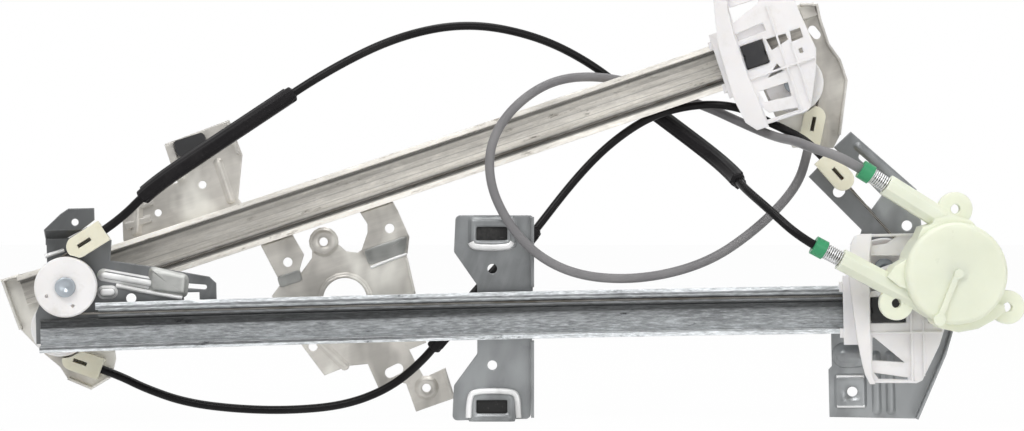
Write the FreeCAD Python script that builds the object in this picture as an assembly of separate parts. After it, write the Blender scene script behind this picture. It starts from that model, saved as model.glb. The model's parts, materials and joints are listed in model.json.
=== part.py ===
"""Dual-rail cable window regulator for a vehicle door, in millimetres.

+X runs along the lower rail (rail A), +Z is up and -Y is the side that the
cable drum and the glass carriers face. The origin lies midway between the two
bolt holes of the middle bracket, on the bracket's back face.
"""
import FreeCAD, Part
import math
import os

Vec = FreeCAD.Vector

# Rails: two bowed hat sections, hollow side towards -Y
RAIL_RADIUS = 1300.0
RAIL_SHEET = 1.2
RAIL_HALF_WIDTH = 14.0
RAIL_LIP = 3.4
RAIL_DEPTH = 12.2
LEDGE_HEIGHT = 5.6
LEDGE_WIDTH = 5.0
LEDGE_RAMP = 1.4
WEB_EDGE = 11.2
NOTCH_LENGTH = 20.0
NOTCH_EDGE = 4.4

RAIL_A_ORIGIN = Vec(0, -1.5, 1.4)
RAIL_A_TILT = 1.3
RAIL_A_LEFT_PULLEY = -249.5
RAIL_A_RIGHT_PULLEY = 231.5
RAIL_B_ORIGIN = Vec(-57, 34, 85.7)
RAIL_B_TILT = 18.4
RAIL_B_LEFT_PULLEY = -224.5
RAIL_B_RIGHT_PULLEY = 246.5
RAIL_OVERHANG = 15.5

# Cable, pulleys and their rivets
CABLE_RADIUS = 0.75
CABLE_LEVEL = 8.0
CABLE_CLEARANCE = 0.35
PULLEY_RADIUS = 17.5
PULLEY_GROOVE_RADIUS = 14.7
PULLEY_GROOVE_WIDTH = 2.4
PULLEY_THICKNESS = 10.8
PULLEY_TO_RAIL = 23.6
PULLEY_HOLE = 1.0
RUNNING_CLEARANCE = 0.05
FACE_CLEARANCE = 0.3
RIVET_RADIUS = 3.5
RIVET_HEAD_RADIUS = 5.8
RIVET_HEAD_HEIGHT = 2.6
BOSS_RADIUS = 7.5
BOSS_HEIGHT = 2.2
PULLEY_CABLE_RADIUS = PULLEY_GROOVE_RADIUS + CABLE_RADIUS + CABLE_CLEARANCE

# Sheet metal brackets
SHEET = 1.5
SCREW_HOLE_RADIUS = 2.9
MID_HOLE_SPACING = 57.8
POCKET_DEPTH = 4.0
TALL = 30.0

# Conduits, their holders, sleeves and end caps
CONDUIT_RADIUS = 2.5
GREY_CONDUIT_RADIUS = 2.8
SLEEVE_WALL = 2.6
SLEEVE_GAP = 0.15
SEAT_DEPTH = 6.0
SEAT_CLEARANCE = 0.1
PULLEY_GAP = 1.0
EAR_GAP = 0.5
HOLDER_WIDTH = 13.0
HOLDER_LENGTH = 24.0
HOLDER_FRONT = 13.0
LEAD = 16.0
LOWER_INLET_LEAD = 14.0
UPPER_INLET_LEAD = 18.0
ARC_SHARE = 0.45

# Glass carriers
TRAVEL = 380.0
CARRIER_REST = 231.5
CARRIER_BACK = 17.2
CARRIER_FRONT = 27.0
CARRIER_THIN_FRONT = 21.0
RIB_HEIGHT = 1.5
SHOE_CLEARANCE = 0.4
SHOE_WALL = 1.6
CARRIER_LEAN = 5.0
BLOCK_START = CARRIER_LEAN - 13.2
BLOCK_END_A = CARRIER_LEAN + 5.8
BLOCK_END_B = CARRIER_LEAN + 0.0
BLOCK_HALF_HEIGHT = 7.0
BLOCK_GAP = 0.4

# Cable drum and its housing
HOUSING_CENTRE = Vec(259, -63.5, 28.5)
HOUSING_RADIUS = 28.5
HOUSING_HALF_THICKNESS = 12.0
HOUSING_WALL = 2.4
EAR_REACH = 7.5
SCREW_CIRCLE_RADIUS = HOUSING_RADIUS + EAR_REACH
EAR_RADIUS = 9.5
EAR_THICKNESS = 4.0
EAR_ANGLES = (88.0, 208.0, 328.0)
EAR_HOLE_RADIUS = 2.7
DRUM_RADIUS = 25.0
DRUM_GROOVE_RADIUS = 21.4
DRUM_HALF_THICKNESS = 7.0
DRUM_HUB_RADIUS = 6.0
DRIVE_BORE_RADIUS = 3.5
DRUM_CABLE_RADIUS = DRUM_GROOVE_RADIUS + CABLE_RADIUS + CABLE_CLEARANCE
INLET_RADIUS = 6.0
INLET_SIDES = 8
INLET_BORE_RADIUS = 3.6
UPPER_INLET_ANGLE = 148.0
UPPER_INLET_LENGTH = 57.5
LOWER_INLET_ANGLE = 152.0
LOWER_INLET_LENGTH = 59.0
SPRING_LENGTH = 10.0
SPRING_RADIUS = 3.6
SPRING_WIRE_RADIUS = 0.6
SPRING_TURNS = 5
CAP_LENGTH = 7.0
CAP_RADIUS = 5.4


def turned(shape, angle, axis=Vec(0, 0, 1), centre=Vec(0, 0, 0)):
    """Return a copy of the shape turned by an angle in degrees."""
    copy = shape.copy()
    copy.rotate(centre, axis, angle)
    return copy


def moved(shape, offset):
    copy = shape.copy()
    copy.translate(offset)
    return copy


def fused(shapes):
    return shapes[0].fuse(shapes[1:])


def prism(points, front, back=0.0):
    """Solid with an outline in (along, across), between two levels towards -Y."""
    corners = [Vec(x, -back, z) for x, z in points]
    face = Part.Face(Part.makePolygon(corners + corners[:1]))
    return face.extrude(Vec(0, back - front, 0))


def disc(radius, front, back=0.0, along=0.0, across=0.0):
    """Cylinder whose axis is -Y, between two levels."""
    return Part.makeCylinder(radius, front - back, Vec(along, -back, across), Vec(0, -1, 0))


def slot(length, width, front, back, along, across, angle=0.0):
    """Round-ended prism for a slotted hole or a long boss."""
    reach = (length - width) / 2
    body = block(-reach, reach, -width / 2, width / 2, front, back)
    ends = [disc(width / 2, front, back, -reach), disc(width / 2, front, back, reach)]
    shape = turned(body.fuse(ends).removeSplitter(), -angle, Vec(0, 1, 0))
    return moved(shape, Vec(along, 0, across))


def block(x0, x1, z0, z1, front, back=0.0):
    return prism([(x0, z0), (x1, z0), (x1, z1), (x0, z1)], front, back)


def rounded(shape, radius, chooser):
    """Fillet the edges that the chooser picks."""
    edges = [edge for edge in shape.Edges if chooser(edge)]
    return shape.makeFillet(radius, edges) if edges else shape


def upright(edge):
    """True for an edge that runs along Y."""
    a, b = edge.Vertexes[0].Point, edge.Vertexes[-1].Point
    return (b - a).Length > 0.5 and abs((b - a).y) > 0.99 * (b - a).Length


def ribbon(points, thickness):
    """Outline of a strip of even thickness along an open line of points."""
    sides = [[], []]
    for i, (x, y) in enumerate(points):
        before = points[max(i - 1, 0)]
        after = points[min(i + 1, len(points) - 1)]
        normals = []
        for a, b in ((before, (x, y)), ((x, y), after)):
            length = math.hypot(b[0] - a[0], b[1] - a[1])
            if length > 0:
                normals.append(((a[1] - b[1]) / length, (b[0] - a[0]) / length))
        nx = sum(n[0] for n in normals) / len(normals)
        ny = sum(n[1] for n in normals) / len(normals)
        stretch = thickness / 2 / (nx * nx + ny * ny)
        sides[0].append((x + nx * stretch, y + ny * stretch))
        sides[1].append((x - nx * stretch, y - ny * stretch))
    return sides[0] + sides[1][::-1]


def folded(points, thickness, x0, x1):
    """Folded sheet: a line of (across, level) points with a thickness, from x0 to x1."""
    corners = [Vec(x0, -level, across) for across, level in ribbon(points, thickness)]
    face = Part.Face(Part.makePolygon(corners + corners[:1]))
    return face.extrude(Vec(x1 - x0, 0, 0))


def bowed(outline, x0, x1):
    """Sweep an outline of (across, level) along the rails' bow, from x0 to x1."""
    corners = [Vec(0, -level, across) for across, level in outline]
    face = Part.Face(Part.makePolygon(corners + corners[:1]))
    centre = Vec(0, -RAIL_RADIUS, 0)
    start = math.degrees(x0 / RAIL_RADIUS)
    sweep = math.degrees((x1 - x0) / RAIL_RADIUS)
    face.rotate(centre, Vec(0, 0, 1), -start)
    return face.revolve(centre, Vec(0, 0, 1), -sweep)


def hugging(tall, front, back):
    """Cut a tall shape down to a layer that follows the back of a rail."""
    box = tall.BoundBox
    margin = 2.0
    band = [(box.ZMin - margin, back), (box.ZMax + margin, back),
            (box.ZMax + margin, front), (box.ZMin - margin, front)]
    return bowed(band, box.XMin - margin, box.XMax + margin).common(tall)


def bowed_plate(outline):
    """Sheet that hugs the back of a rail, cut to an outline of (along, across)."""
    return hugging(prism(outline, TALL, -TALL), 0.0, -SHEET)


def raised(shape_of, *sizes, height=1.4):
    """Pressed-out ridge or pad on a bowed plate."""
    return hugging(shape_of(*sizes), height, -SHEET / 2)


class RailFrame:
    """Places shapes along a rail: x along it, -y towards the hollow side, z across."""

    def __init__(self, origin, tilt, left, right, pulley_side):
        self.origin = origin
        self.tilt = tilt
        self.left = left
        self.right = right
        self.pulley_side = pulley_side

    def place(self, shape, along, mirror=False):
        """Move a shape drawn at the rail's middle to a distance along the rail."""
        if mirror and self.pulley_side < 0:
            shape = shape.mirror(Vec(0, 0, 0), Vec(0, 0, 1))
        turn = math.degrees(along / RAIL_RADIUS)
        placed = turned(shape, -turn, Vec(0, 0, 1), Vec(0, -RAIL_RADIUS, 0))
        placed = turned(placed, -self.tilt, Vec(0, 1, 0))
        return moved(placed, self.origin)

    def point(self, x, y, z, along, mirror=True):
        """World point for a point drawn at the rail's middle."""
        vertex = Part.Vertex(Vec(x, y, z))
        return self.place(vertex, along, mirror).Point

    def direction(self, x, y, z, along, mirror=True):
        tip = self.point(x, y, z, along, mirror)
        return tip - self.point(0, 0, 0, along, mirror)


RAIL_A = RailFrame(RAIL_A_ORIGIN, RAIL_A_TILT, RAIL_A_LEFT_PULLEY, RAIL_A_RIGHT_PULLEY, 1)
RAIL_B = RailFrame(RAIL_B_ORIGIN, RAIL_B_TILT, RAIL_B_LEFT_PULLEY, RAIL_B_RIGHT_PULLEY, -1)


class CableEnd:
    """Where the cable leaves a pulley for its conduit, drawn with the pulley above the rail."""

    def __init__(self, frame, along, side, angle, reach, conduit_radius):
        self.frame = frame
        self.conduit_radius = conduit_radius
        self.along = along
        self.side = side
        self.angle = angle
        self.reach = reach
        turn = math.radians(angle)
        self.ux = -side * math.cos(turn)
        self.uz = math.sin(turn)
        self.tx = side * PULLEY_CABLE_RADIUS * math.sin(turn)
        self.tz = PULLEY_TO_RAIL + PULLEY_CABLE_RADIUS * math.cos(turn)

    def local(self, distance):
        """Point on the cable's straight run, a distance past the pulley."""
        return Vec(self.tx + self.ux * distance, -CABLE_LEVEL, self.tz + self.uz * distance)

    def world(self, distance):
        p = self.local(distance)
        return self.frame.point(p.x, p.y, p.z, self.along)

    def lead(self, extra=0.0):
        return self.world(self.reach + extra)


A_LEFT = CableEnd(RAIL_A, RAIL_A_LEFT_PULLEY, -1, 31.7, 30.0, CONDUIT_RADIUS)
A_RIGHT = CableEnd(RAIL_A, RAIL_A_RIGHT_PULLEY, 1, 50.6, 66.0, CONDUIT_RADIUS)
B_LEFT = CableEnd(RAIL_B, RAIL_B_LEFT_PULLEY, -1, 38.4, 25.0, CONDUIT_RADIUS)
B_RIGHT = CableEnd(RAIL_B, RAIL_B_RIGHT_PULLEY, 1, 60.8, 29.0, GREY_CONDUIT_RADIUS)


def rail(frame):
    """Hat-section rail with a raised ledge beside the cable and cut-back corners."""
    half_sheet = RAIL_SHEET / 2
    lip_level = RAIL_DEPTH - half_sheet
    wall = RAIL_HALF_WIDTH - RAIL_LIP
    ledge_level = LEDGE_HEIGHT - half_sheet
    ledge_edge = wall - LEDGE_WIDTH
    line = [(RAIL_HALF_WIDTH, lip_level), (wall, lip_level), (wall, ledge_level),
            (ledge_edge, ledge_level), (ledge_edge - LEDGE_RAMP, half_sheet),
            (-WEB_EDGE, half_sheet), (-WEB_EDGE, lip_level), (-RAIL_HALF_WIDTH, lip_level)]
    start = frame.left - RAIL_OVERHANG
    end = frame.right + RAIL_OVERHANG
    body = bowed(ribbon(line, RAIL_SHEET), start, end)
    depth = 80.0
    for along, side in ((frame.left, -1), (frame.right, 1)):
        inner = along - side * NOTCH_LENGTH
        outer = along + side * (RAIL_OVERHANG + NOTCH_LENGTH)
        x0, x1 = sorted((inner, outer))
        body = body.cut(block(x0, x1, NOTCH_EDGE, 2 * RAIL_HALF_WIDTH, depth, -depth))
    return frame.place(body, 0, mirror=True)


def pulley_profile():
    """Half section of a pulley as (radius, level) points."""
    back = BOSS_HEIGHT + FACE_CLEARANCE
    front = back + PULLEY_THICKNESS
    bore = RIVET_RADIUS + RUNNING_CLEARANCE
    lower = CABLE_LEVEL - PULLEY_GROOVE_WIDTH / 2
    upper = CABLE_LEVEL + PULLEY_GROOVE_WIDTH / 2
    flare = 0.8
    return [(bore, back), (PULLEY_RADIUS - flare, back), (PULLEY_RADIUS, back + flare),
            (PULLEY_RADIUS, lower - flare), (PULLEY_GROOVE_RADIUS, lower),
            (PULLEY_GROOVE_RADIUS, upper), (PULLEY_RADIUS, upper + flare),
            (PULLEY_RADIUS, front - flare), (PULLEY_RADIUS - flare, front), (bore, front)]


def pulley(frame, along):
    """Moulded pulley with a rounded groove wall and small moulding holes."""
    corners = [Vec(r, -level, 0) for r, level in pulley_profile()]
    face = Part.Face(Part.makePolygon(corners + corners[:1]))
    body = face.revolve(Vec(0, 0, 0), Vec(0, 1, 0), 360)
    front = BOSS_HEIGHT + FACE_CLEARANCE + PULLEY_THICKNESS
    ring = (RIVET_HEAD_RADIUS + PULLEY_RADIUS) / 2
    for angle in (205.0, 290.0):
        turn = math.radians(angle)
        x, z = ring * math.cos(turn), ring * math.sin(turn)
        body = body.cut(disc(PULLEY_HOLE, front + 1, front - 2, x, z))
    return frame.place(moved(body, Vec(0, 0, PULLEY_TO_RAIL)), along, mirror=True)


def pulley_rivet(frame, along):
    """Shouldered rivet that holds a pulley to its bracket."""
    head_back = BOSS_HEIGHT + PULLEY_THICKNESS + 2 * FACE_CLEARANCE
    shank = disc(RIVET_RADIUS, head_back, -SHEET)
    head = disc(RIVET_HEAD_RADIUS, head_back + RIVET_HEAD_HEIGHT, head_back)
    head = head.makeFillet(RIVET_HEAD_HEIGHT / 3, [head.Edges[0]])
    dimple_depth = 1.2
    tip = head_back + RIVET_HEAD_HEIGHT
    dimple = Part.makeCone(RIVET_HEAD_RADIUS / 2, 0.3, dimple_depth, Vec(0, -tip, 0), Vec(0, 1, 0))
    tail = disc(RIVET_RADIUS + 1.2, -SHEET, -SHEET - 1.2)
    body = fused([shank, head, tail]).cut(dimple)
    return frame.place(moved(body, Vec(0, 0, PULLEY_TO_RAIL)), along, mirror=True)


def with_boss(plate):
    """Add the raised boss under a pulley and drill it for the rivet."""
    root = -SHEET / 2
    boss = Part.makeCone(BOSS_RADIUS + 2, BOSS_RADIUS, BOSS_HEIGHT - root,
                         Vec(0, -root, PULLEY_TO_RAIL), Vec(0, -1, 0))
    body = plate.fuse(boss)
    return body.cut(disc(RIVET_RADIUS, 2 * BOSS_HEIGHT, -2 * SHEET, 0, PULLEY_TO_RAIL))


def on_cable_line(end, shape):
    """Turn and move a shape drawn along +X onto a pulley's outgoing cable line."""
    heading = math.degrees(math.atan2(end.uz, end.ux))
    return moved(turned(shape, -heading, Vec(0, 1, 0)), Vec(end.tx, 0, end.tz))


def holder_blank(end, grown=0.0):
    """Tall round-nosed block along a cable line, grown all round on request."""
    half = HOLDER_WIDTH / 2
    inner = end.reach - HOLDER_LENGTH + SEAT_DEPTH
    bar = block(inner + half, end.reach + SEAT_DEPTH + grown, -half - grown, half + grown,
                TALL, -TALL)
    nose = disc(half + grown, TALL, -TALL, inner + half)
    return bar.fuse(nose).removeSplitter()


def holder(end):
    """Moulded conduit holder: rounded block with a cable slot and a conduit seat."""
    half = HOLDER_WIDTH / 2
    inner = end.reach - HOLDER_LENGTH + SEAT_DEPTH
    seat_radius = end.conduit_radius + SEAT_CLEARANCE
    axis = Vec(1, 0, 0)
    level = -CABLE_LEVEL
    seat = Part.makeCylinder(seat_radius, SEAT_DEPTH + 1, Vec(end.reach, level, 0), axis)
    cable = Part.makeCylinder(CABLE_RADIUS + CABLE_CLEARANCE, HOLDER_LENGTH,
                              Vec(inner - 1, level, 0), axis)
    slot_half = CABLE_RADIUS + CABLE_CLEARANCE
    slot_start = inner + half
    window = Part.makeBox(end.reach - 3 - slot_start, HOLDER_FRONT, 2 * slot_half,
                          Vec(slot_start, level - HOLDER_FRONT, -slot_half))
    body = holder_blank(end).cut([seat, cable, window])
    body = hugging(on_cable_line(end, body), HOLDER_FRONT, SEAT_CLEARANCE)
    pulley_room = disc(PULLEY_RADIUS + PULLEY_GAP, TALL, -TALL, 0, PULLEY_TO_RAIL)
    return end.frame.place(body.cut(pulley_room), end.along, mirror=True)


def left_bracket_a():
    """Dark end bracket of rail A: pulley plate, bent ear, ribs and a slotted foot."""
    outline = [(-18, -9.5), (-18, 8), (-13, 20), (-11, 36), (-11, 52), (2, 52), (12, 58),
               (26, 50), (25, 38), (48, 34), (82, 27), (86, 23), (86, 4), (35, 4), (35, -9.5)]
    plate = with_boss(bowed_plate(outline))
    ear_line = [(48, -SHEET / 2), (52, -SHEET / 2), (57, 9), (69, 9)]
    ear = folded(ear_line, SHEET, -11.5, 17)
    ear_outline = [(-11.5, 47), (1, 47), (1, 52), (9, 56), (17, 62), (17, 70), (4, 70),
                   (-2, 66), (-11.5, 57)]
    ear = ear.common(prism(ear_outline, 20, -5))
    ear = ear.cut(on_cable_line(A_LEFT, holder_blank(A_LEFT, EAR_GAP)))
    rib = raised(slot, 30, 4.5, TALL, -TALL, 35, 27, -12)
    step = raised(prism, [(48, 21), (66, 17), (68, 26), (49, 32)], TALL, -TALL)
    oval = raised(slot, 9, 5, TALL, -TALL, 23, 19.5)
    body = fused([plate, ear, rib, step, oval])
    holes = [slot(14, 2.8, 9, -9, 73.5, 21.5, -6), block(67, 76, 12, 18, 9, -9),
             disc(SCREW_HOLE_RADIUS, 9, -9, 36.5, 15.5), disc(2.0, 20, -9, 6, 61)]
    return RAIL_A.place(body.cut(holes), RAIL_A_LEFT_PULLEY, mirror=True)


def left_bracket_b():
    """Light end bracket of rail B with a folded rim round its pulley."""
    outline = [(-25, -15), (-24, 17), (-15, 36), (-9, 46), (-7, 54), (5, 65), (18, 62),
               (24, 52), (26, 40), (40, 20), (48, 4), (48, -9.5), (-10, -15)]
    plate = with_boss(bowed_plate(outline))
    rim_height = 7.0
    rim_path = [(-14, -14.4), (-24.4, -14.4), (-23.4, 17)]
    rim = hugging(prism(ribbon(rim_path, SHEET), TALL, -TALL), rim_height, -SHEET / 2)
    tip_path = [(-6.2, 54), (5, 64.2), (17, 61.2)]
    tip = hugging(prism(ribbon(tip_path, SHEET), TALL, -TALL), rim_height, -SHEET / 2)
    body = fused([plate, rim, tip])
    return RAIL_B.place(body, RAIL_B_LEFT_PULLEY, mirror=True)


def mid_bracket():
    """Upright bracket behind rail A, with two bolt holes and two buffer pockets."""
    outline = [(25, 61), (-22, 61), (-23, 39), (-9, 19), (-9, -22), (-23, -41), (-24, -62),
               (23, -61)]
    half = MID_HOLE_SPACING / 2
    plate = rounded(prism(outline, SHEET), 3.0, upright)
    parts = [plate, block(23.2, 25, -60, -14, 5, 0), block(23.2, 25, 18, 60, 5, 0)]
    for z, height in ((50, 17), (-53.5, 17)):
        tray = block(-12, 14, z - height / 2, z + height / 2, POCKET_DEPTH, SHEET)
        parts.append(rounded(tray, 2.0, upright))
    body = fused(parts)
    for z in (50, -53.5):
        body = body.cut(block(-9.5, 9, z - 4, z + 4, 9, -9))
    for z in (half, -half):
        body = body.cut(disc(SCREW_HOLE_RADIUS, 9, -9, 0, z))
    return body


def mid_bracket_buffers():
    """Two rubber buffers pressed into the pockets of the middle bracket."""
    pads = []
    for z in (50, -53.5):
        pads.append(block(-9.5, 9, z - 4, z + 4, POCKET_DEPTH - 1, 0.4))
    return Part.makeCompound(pads)


def right_bracket_a():
    """Dark end bracket of rail A: forked arms above, broad foot below."""
    outline = [(-31, -19), (-31, -34), (-33, -36), (-33, -64), (17, -65), (34, -27),
               (38, -14), (36, 4), (24, 15), (23, 34), (22, 52), (20, 69), (-17, 104), (-27, 95),
               (0, 66), (-6, 58), (-34, 86), (-42, 78), (-12, 46), (-20, 20), (-20, 4),
               (-31, 4)]
    plate = with_boss(bowed_plate(outline))
    rim_path = [(17, -64.5), (33.5, -27), (37.4, -14), (35.4, 4)]
    rim = hugging(prism(ribbon(rim_path, SHEET), TALL, -TALL), 7.0, -SHEET / 2)
    pad = raised(block, -28, -13, -57, -40, TALL, -TALL)
    ribs = [raised(slot, 34, 3.2, TALL, -TALL, x, -44, 90) for x in (-5.5, 2.5)]
    bulge = raised(slot, 14, 9, TALL, -TALL, -22, -30)
    arm_ribs = [raised(slot, 34, 3, TALL, -TALL, -1, 84, -43)]
    body = fused([plate, rim, pad, bulge] + ribs + arm_ribs)
    holes = [disc(3.0, 9, -9, -19.5, -49), slot(7.2, 4.6, 9, -9, -9.5, 88, -43),
             slot(7.4, 6.4, 9, -9, -24.5, 69, 45), disc(3.0, 9, -9, 14, 48)]
    return RAIL_A.place(body.cut(holes), RAIL_A_RIGHT_PULLEY, mirror=True)


def right_bracket_b():
    """Light end bracket of rail B, rimmed along its outer edge."""
    outline = [(-34, -9.5), (-34, 4), (-20, 8), (-17, 38), (-13, 60), (10, 68), (16, 62),
               (23, 48), (30.5, 32), (30.5, 19), (27, 8), (27, -8), (28, -17), (18, -21),
               (6, -20), (0, -9.5)]
    plate = with_boss(bowed_plate(outline))
    rim_path = [(16, 61.4), (22.4, 47.6), (29.8, 31.8), (29.8, 19), (26.4, 8), (26.4, -8),
                (27.4, -16.6), (18, -20.4)]
    rim = hugging(prism(ribbon(rim_path, SHEET), TALL, -TALL), 9.0, -SHEET / 2)
    hook = raised(block, 17, 26, -19, -11, TALL, -TALL, height=5.0)
    body = fused([plate, rim, hook])
    holes = [slot(9, 5, 20, -9, 21, -2, 70)]
    return RAIL_B.place(body.cut(holes), RAIL_B_RIGHT_PULLEY, mirror=True)


MOTOR_PLATE_ALONG = -50.0


def ear_of(line, outline, x0, x1):
    """Bent ear: a folded strip trimmed to its outline."""
    strip = folded(line, SHEET, x0, x1)
    return strip.common(prism(outline, TALL, -TALL))


def motor_plate():
    """Light plate that carries the motor, drawn with its lobes away from the rail."""
    outline = [(-42.5, 41), (-49.3, 45.7), (-42, 78.5), (-34, 102.7), (-18, 101.8),
               (-6.4, 104.4), (-4.8, 121), (9.6, 122), (12.2, 123.6), (12.6, 142),
               (38.2, 141.6), (38.4, 122), (24, 123.6), (22, 113.8), (20.6, 104.2),
               (32, 103.4), (35.5, 71.8), (37.7, 47), (30, 45.5), (12.6, 36), (9.2, 37),
               (3, 34), (-0.7, 28), (-1.2, 20.5), (-4.5, 17), (-8.4, 16.2), (-12.5, 17.2),
               (-15.4, 20.5), (-16.2, 25), (-18.5, 31.2), (-28, 38)]
    plate = bowed_plate(outline)
    foot = -SHEET / 2
    left_ear = ear_of([(1, foot), (11, foot), (15, 4), (35, 4), (43, foot)],
                      [(-45, 0), (-45.4, 14.2), (-41.9, 36), (-43, 44), (-28, 44), (-27.5, 35.5),
                       (-22.1, 27.7), (-25, 13.4), (-25, 0)], -48, -20)
    right_ear = ear_of([(1, foot), (11, foot), (15, 4), (36, 4), (47, foot)],
                       [(18.6, 0), (18.6, 13.1), (20.9, 22.1), (19.3, 27.1), (12.6, 36),
                        (14, 49), (37.7, 49), (42.9, 37.9), (41.2, 20), (40, 13.5), (40, 0)],
                       12, 44)
    boss = raised(disc, 7.4, TALL, -TALL, -8.4, 24, height=3.0)
    big_ring = raised(disc, 16.4, TALL, -TALL, -7.3, 62.3, height=0.8)
    ridge = raised(slot, 22, 3, TALL, -TALL, -25, 92, 62)
    rim = hugging(prism(ribbon([(34.9, 72), (37, 50)], SHEET), TALL, -TALL), 5.0, foot)
    lug_ring = raised(disc, 5.4, TALL, -TALL, 23.4, 130)
    lug_rim = raised(block, 36.2, 38, 124, 141, TALL, -TALL, height=3.0)
    body = fused([plate, left_ear, right_ear, boss, big_ring, ridge, rim, lug_ring, lug_rim])
    holes = [disc(SCREW_HOLE_RADIUS, 9, -9, -33, 29), disc(2.7, 9, -9, -8.4, 24),
             disc(SCREW_HOLE_RADIUS, 9, -9, 33, 29), disc(13.6, 9, -9, -7.3, 62.3),
             disc(SCREW_HOLE_RADIUS, 9, -9, -35, 83.3), slot(12, 6.4, 9, -9, 7.7, 113.6, -8),
             disc(2.7, 9, -9, 23.4, 130), slot(7, 4, 12, -9, 33.2, 42.8, 0)]
    return RAIL_B.place(body.cut(holes), MOTOR_PLATE_ALONG, mirror=True)


UPPER_BRACKET_ALONG = -118.0


def upper_bracket_b():
    """Light bracket above rail B, with two hanging tabs and a stepped foot."""
    outline = [(-58, 1), (-56, 16), (-52, 30), (-32, 41), (-14, 39), (-14, 64), (28, 66),
               (29, 43), (18, 18), (24, 1)]
    plate = bowed_plate(outline)
    left_rim = raised(block, -14, -9, 40, 63, TALL, -TALL, height=4.0)
    right_rim = raised(block, 26, 27.6, 44, 64, TALL, -TALL, height=6.0)
    steps = [raised(block, -52, -36, 21, 25, TALL, -TALL),
             raised(block, -46, -32, 30.5, 33, TALL, -TALL),
             raised(block, 12, 15, 17, 44, TALL, -TALL)]
    body = fused([plate, left_rim, right_rim] + steps)
    holes = [disc(2.4, 9, -9, 0, 33), disc(2.2, 9, -9, -31, 25)]
    shape = body.cut(holes)
    return RAIL_B.place(shape, UPPER_BRACKET_ALONG)


def conduit_clip():
    """Black clip that holds the upper bracket's edge and the long sleeve."""
    body = rounded(block(-8, 11, 53, 63, TALL, -TALL), 2.0, upright)
    return RAIL_B.place(hugging(body, 9.0, SEAT_CLEARANCE), UPPER_BRACKET_ALONG)


# Left bars of the two carriers and the windows that only one of them has
BAR_A = [(-25.5, 20), (-24.1, 38), (-22, 42.5), (-18, 43.9), (-12, 43.9), (-13.7, 31.8),
         (-14.1, 7.4), (-14.2, -10), (-13.7, -37), (-12, -42), (-15, -42), (-17.5, -37),
         (-18.9, -31.4), (-21.4, -17.3), (-24.2, 7.3)]
BAR_B = [(-25.3, 11.8), (-21.5, 30), (-18, 43.9), (-9, 43.9), (-13.4, 30), (-14.4, 15),
         (-14.2, -12), (-13, -25), (-12.8, -37), (-12, -43.3), (-19.2, -43.3),
         (-24.3, -36.9), (-26.5, -21.8), (-26.2, -12.4), (-25.8, -2.5)]
WINDOWS_A = [[(-12.8, -14.9), (4.9, -30.3), (-13.2, -29)],
             [(-12.5, -36), (6.8, -38.9), (6.2, -40.1), (-9.9, -39.7)]]
WINDOWS_B = [[(-11.3, -21.7), (6.7, -21.9), (6.1, -30.4), (-10, -28.7)],
             [(4.1, -9.2), (6.2, -14.6), (-3.5, -15.7)],
             [(-12.4, -31), (-11.8, -39.2), (7.4, -39.5), (7.2, -38), (-9.4, -35.6)]]


def carrier_blank(bar_outline, own_windows):
    """Glass carrier: cranked frame with a thick left bar, windows and tongues."""
    bar = prism(bar_outline, CARRIER_FRONT, CARRIER_BACK)
    body = prism([(-16, 43.7), (14.7, 43.7), (22, 40), (25.4, 30), (25.8, 17), (28.5, -8.3),
                  (24.4, -20.7), (14.6, -40.5), (11.3, -42.2), (-14, -41.8)],
                 CARRIER_THIN_FRONT, CARRIER_BACK)
    shared = [[(-12.4, 42.1), (1.7, 42), (-3.6, 38.2), (-11.7, 37)],
              [(-12.7, 31.4), (5.8, 31), (4, 27.9), (-4, 25.4), (-12.7, 22)],
              [(-13.5, 15.2), (3.6, 16.5), (4, 11.3), (-13.5, 10.8)],
              [(2.4, 6.5), (14.3, 6.1), (14.7, 2.1), (3.7, -0.8)],
              [(17.2, 6.4), (23.4, 6.6), (23.4, 0.4), (16.2, 0.1)],
              [(18.6, -5.1), (20.9, -5.1), (20.9, -8), (18.6, -8)]]
    windows = [prism(outline, TALL, 0) for outline in shared + own_windows]
    rib_front = CARRIER_THIN_FRONT + RIB_HEIGHT
    ribs = [block(8.4, 9.6, -42, 25, rib_front, CARRIER_BACK),
            block(15.2, 16.2, -38, 0, rib_front, CARRIER_BACK),
            block(-14, 26, -13.6, -12.4, rib_front, CARRIER_BACK),
            block(-14, 12, -41.8, -40.6, rib_front, CARRIER_BACK),
            block(-14, 18, 42.4, 43.7, rib_front, CARRIER_BACK)]
    return moved(fused([body.cut(windows), bar] + ribs), Vec(CARRIER_LEAN, 0, 0))


def carrier_shoes(cable_side):
    """Hooked shoes that grip the two lips of a rail and sit inside its mouth."""
    gap = SHOE_CLEARANCE
    shoes = []
    hook_back = RAIL_DEPTH - RAIL_SHEET - gap - SHOE_WALL
    for side in (1, -1):
        lip_edge = RAIL_HALF_WIDTH + gap
        wall = lip_edge + SHOE_WALL
        x0, x1 = -26.0, -20.0
        if side != cable_side:
            x1 = 20.0
        z0, z1 = sorted((side * lip_edge, side * wall))
        outer = block(x0, x1, z0, z1, CARRIER_BACK + 1, hook_back)
        hook_tip = RAIL_HALF_WIDTH - RAIL_LIP + 1.4
        z0, z1 = sorted((side * hook_tip, side * wall))
        hook = block(x0, x1, z0, z1, hook_back + SHOE_WALL, hook_back)
        z0, z1 = sorted((side * (RAIL_HALF_WIDTH - RAIL_LIP), side * wall))
        pad = block(x0, x1, z0, z1, CARRIER_BACK + 1, RAIL_DEPTH + gap)
        shoes += [outer, hook, pad]
    return shoes


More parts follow.
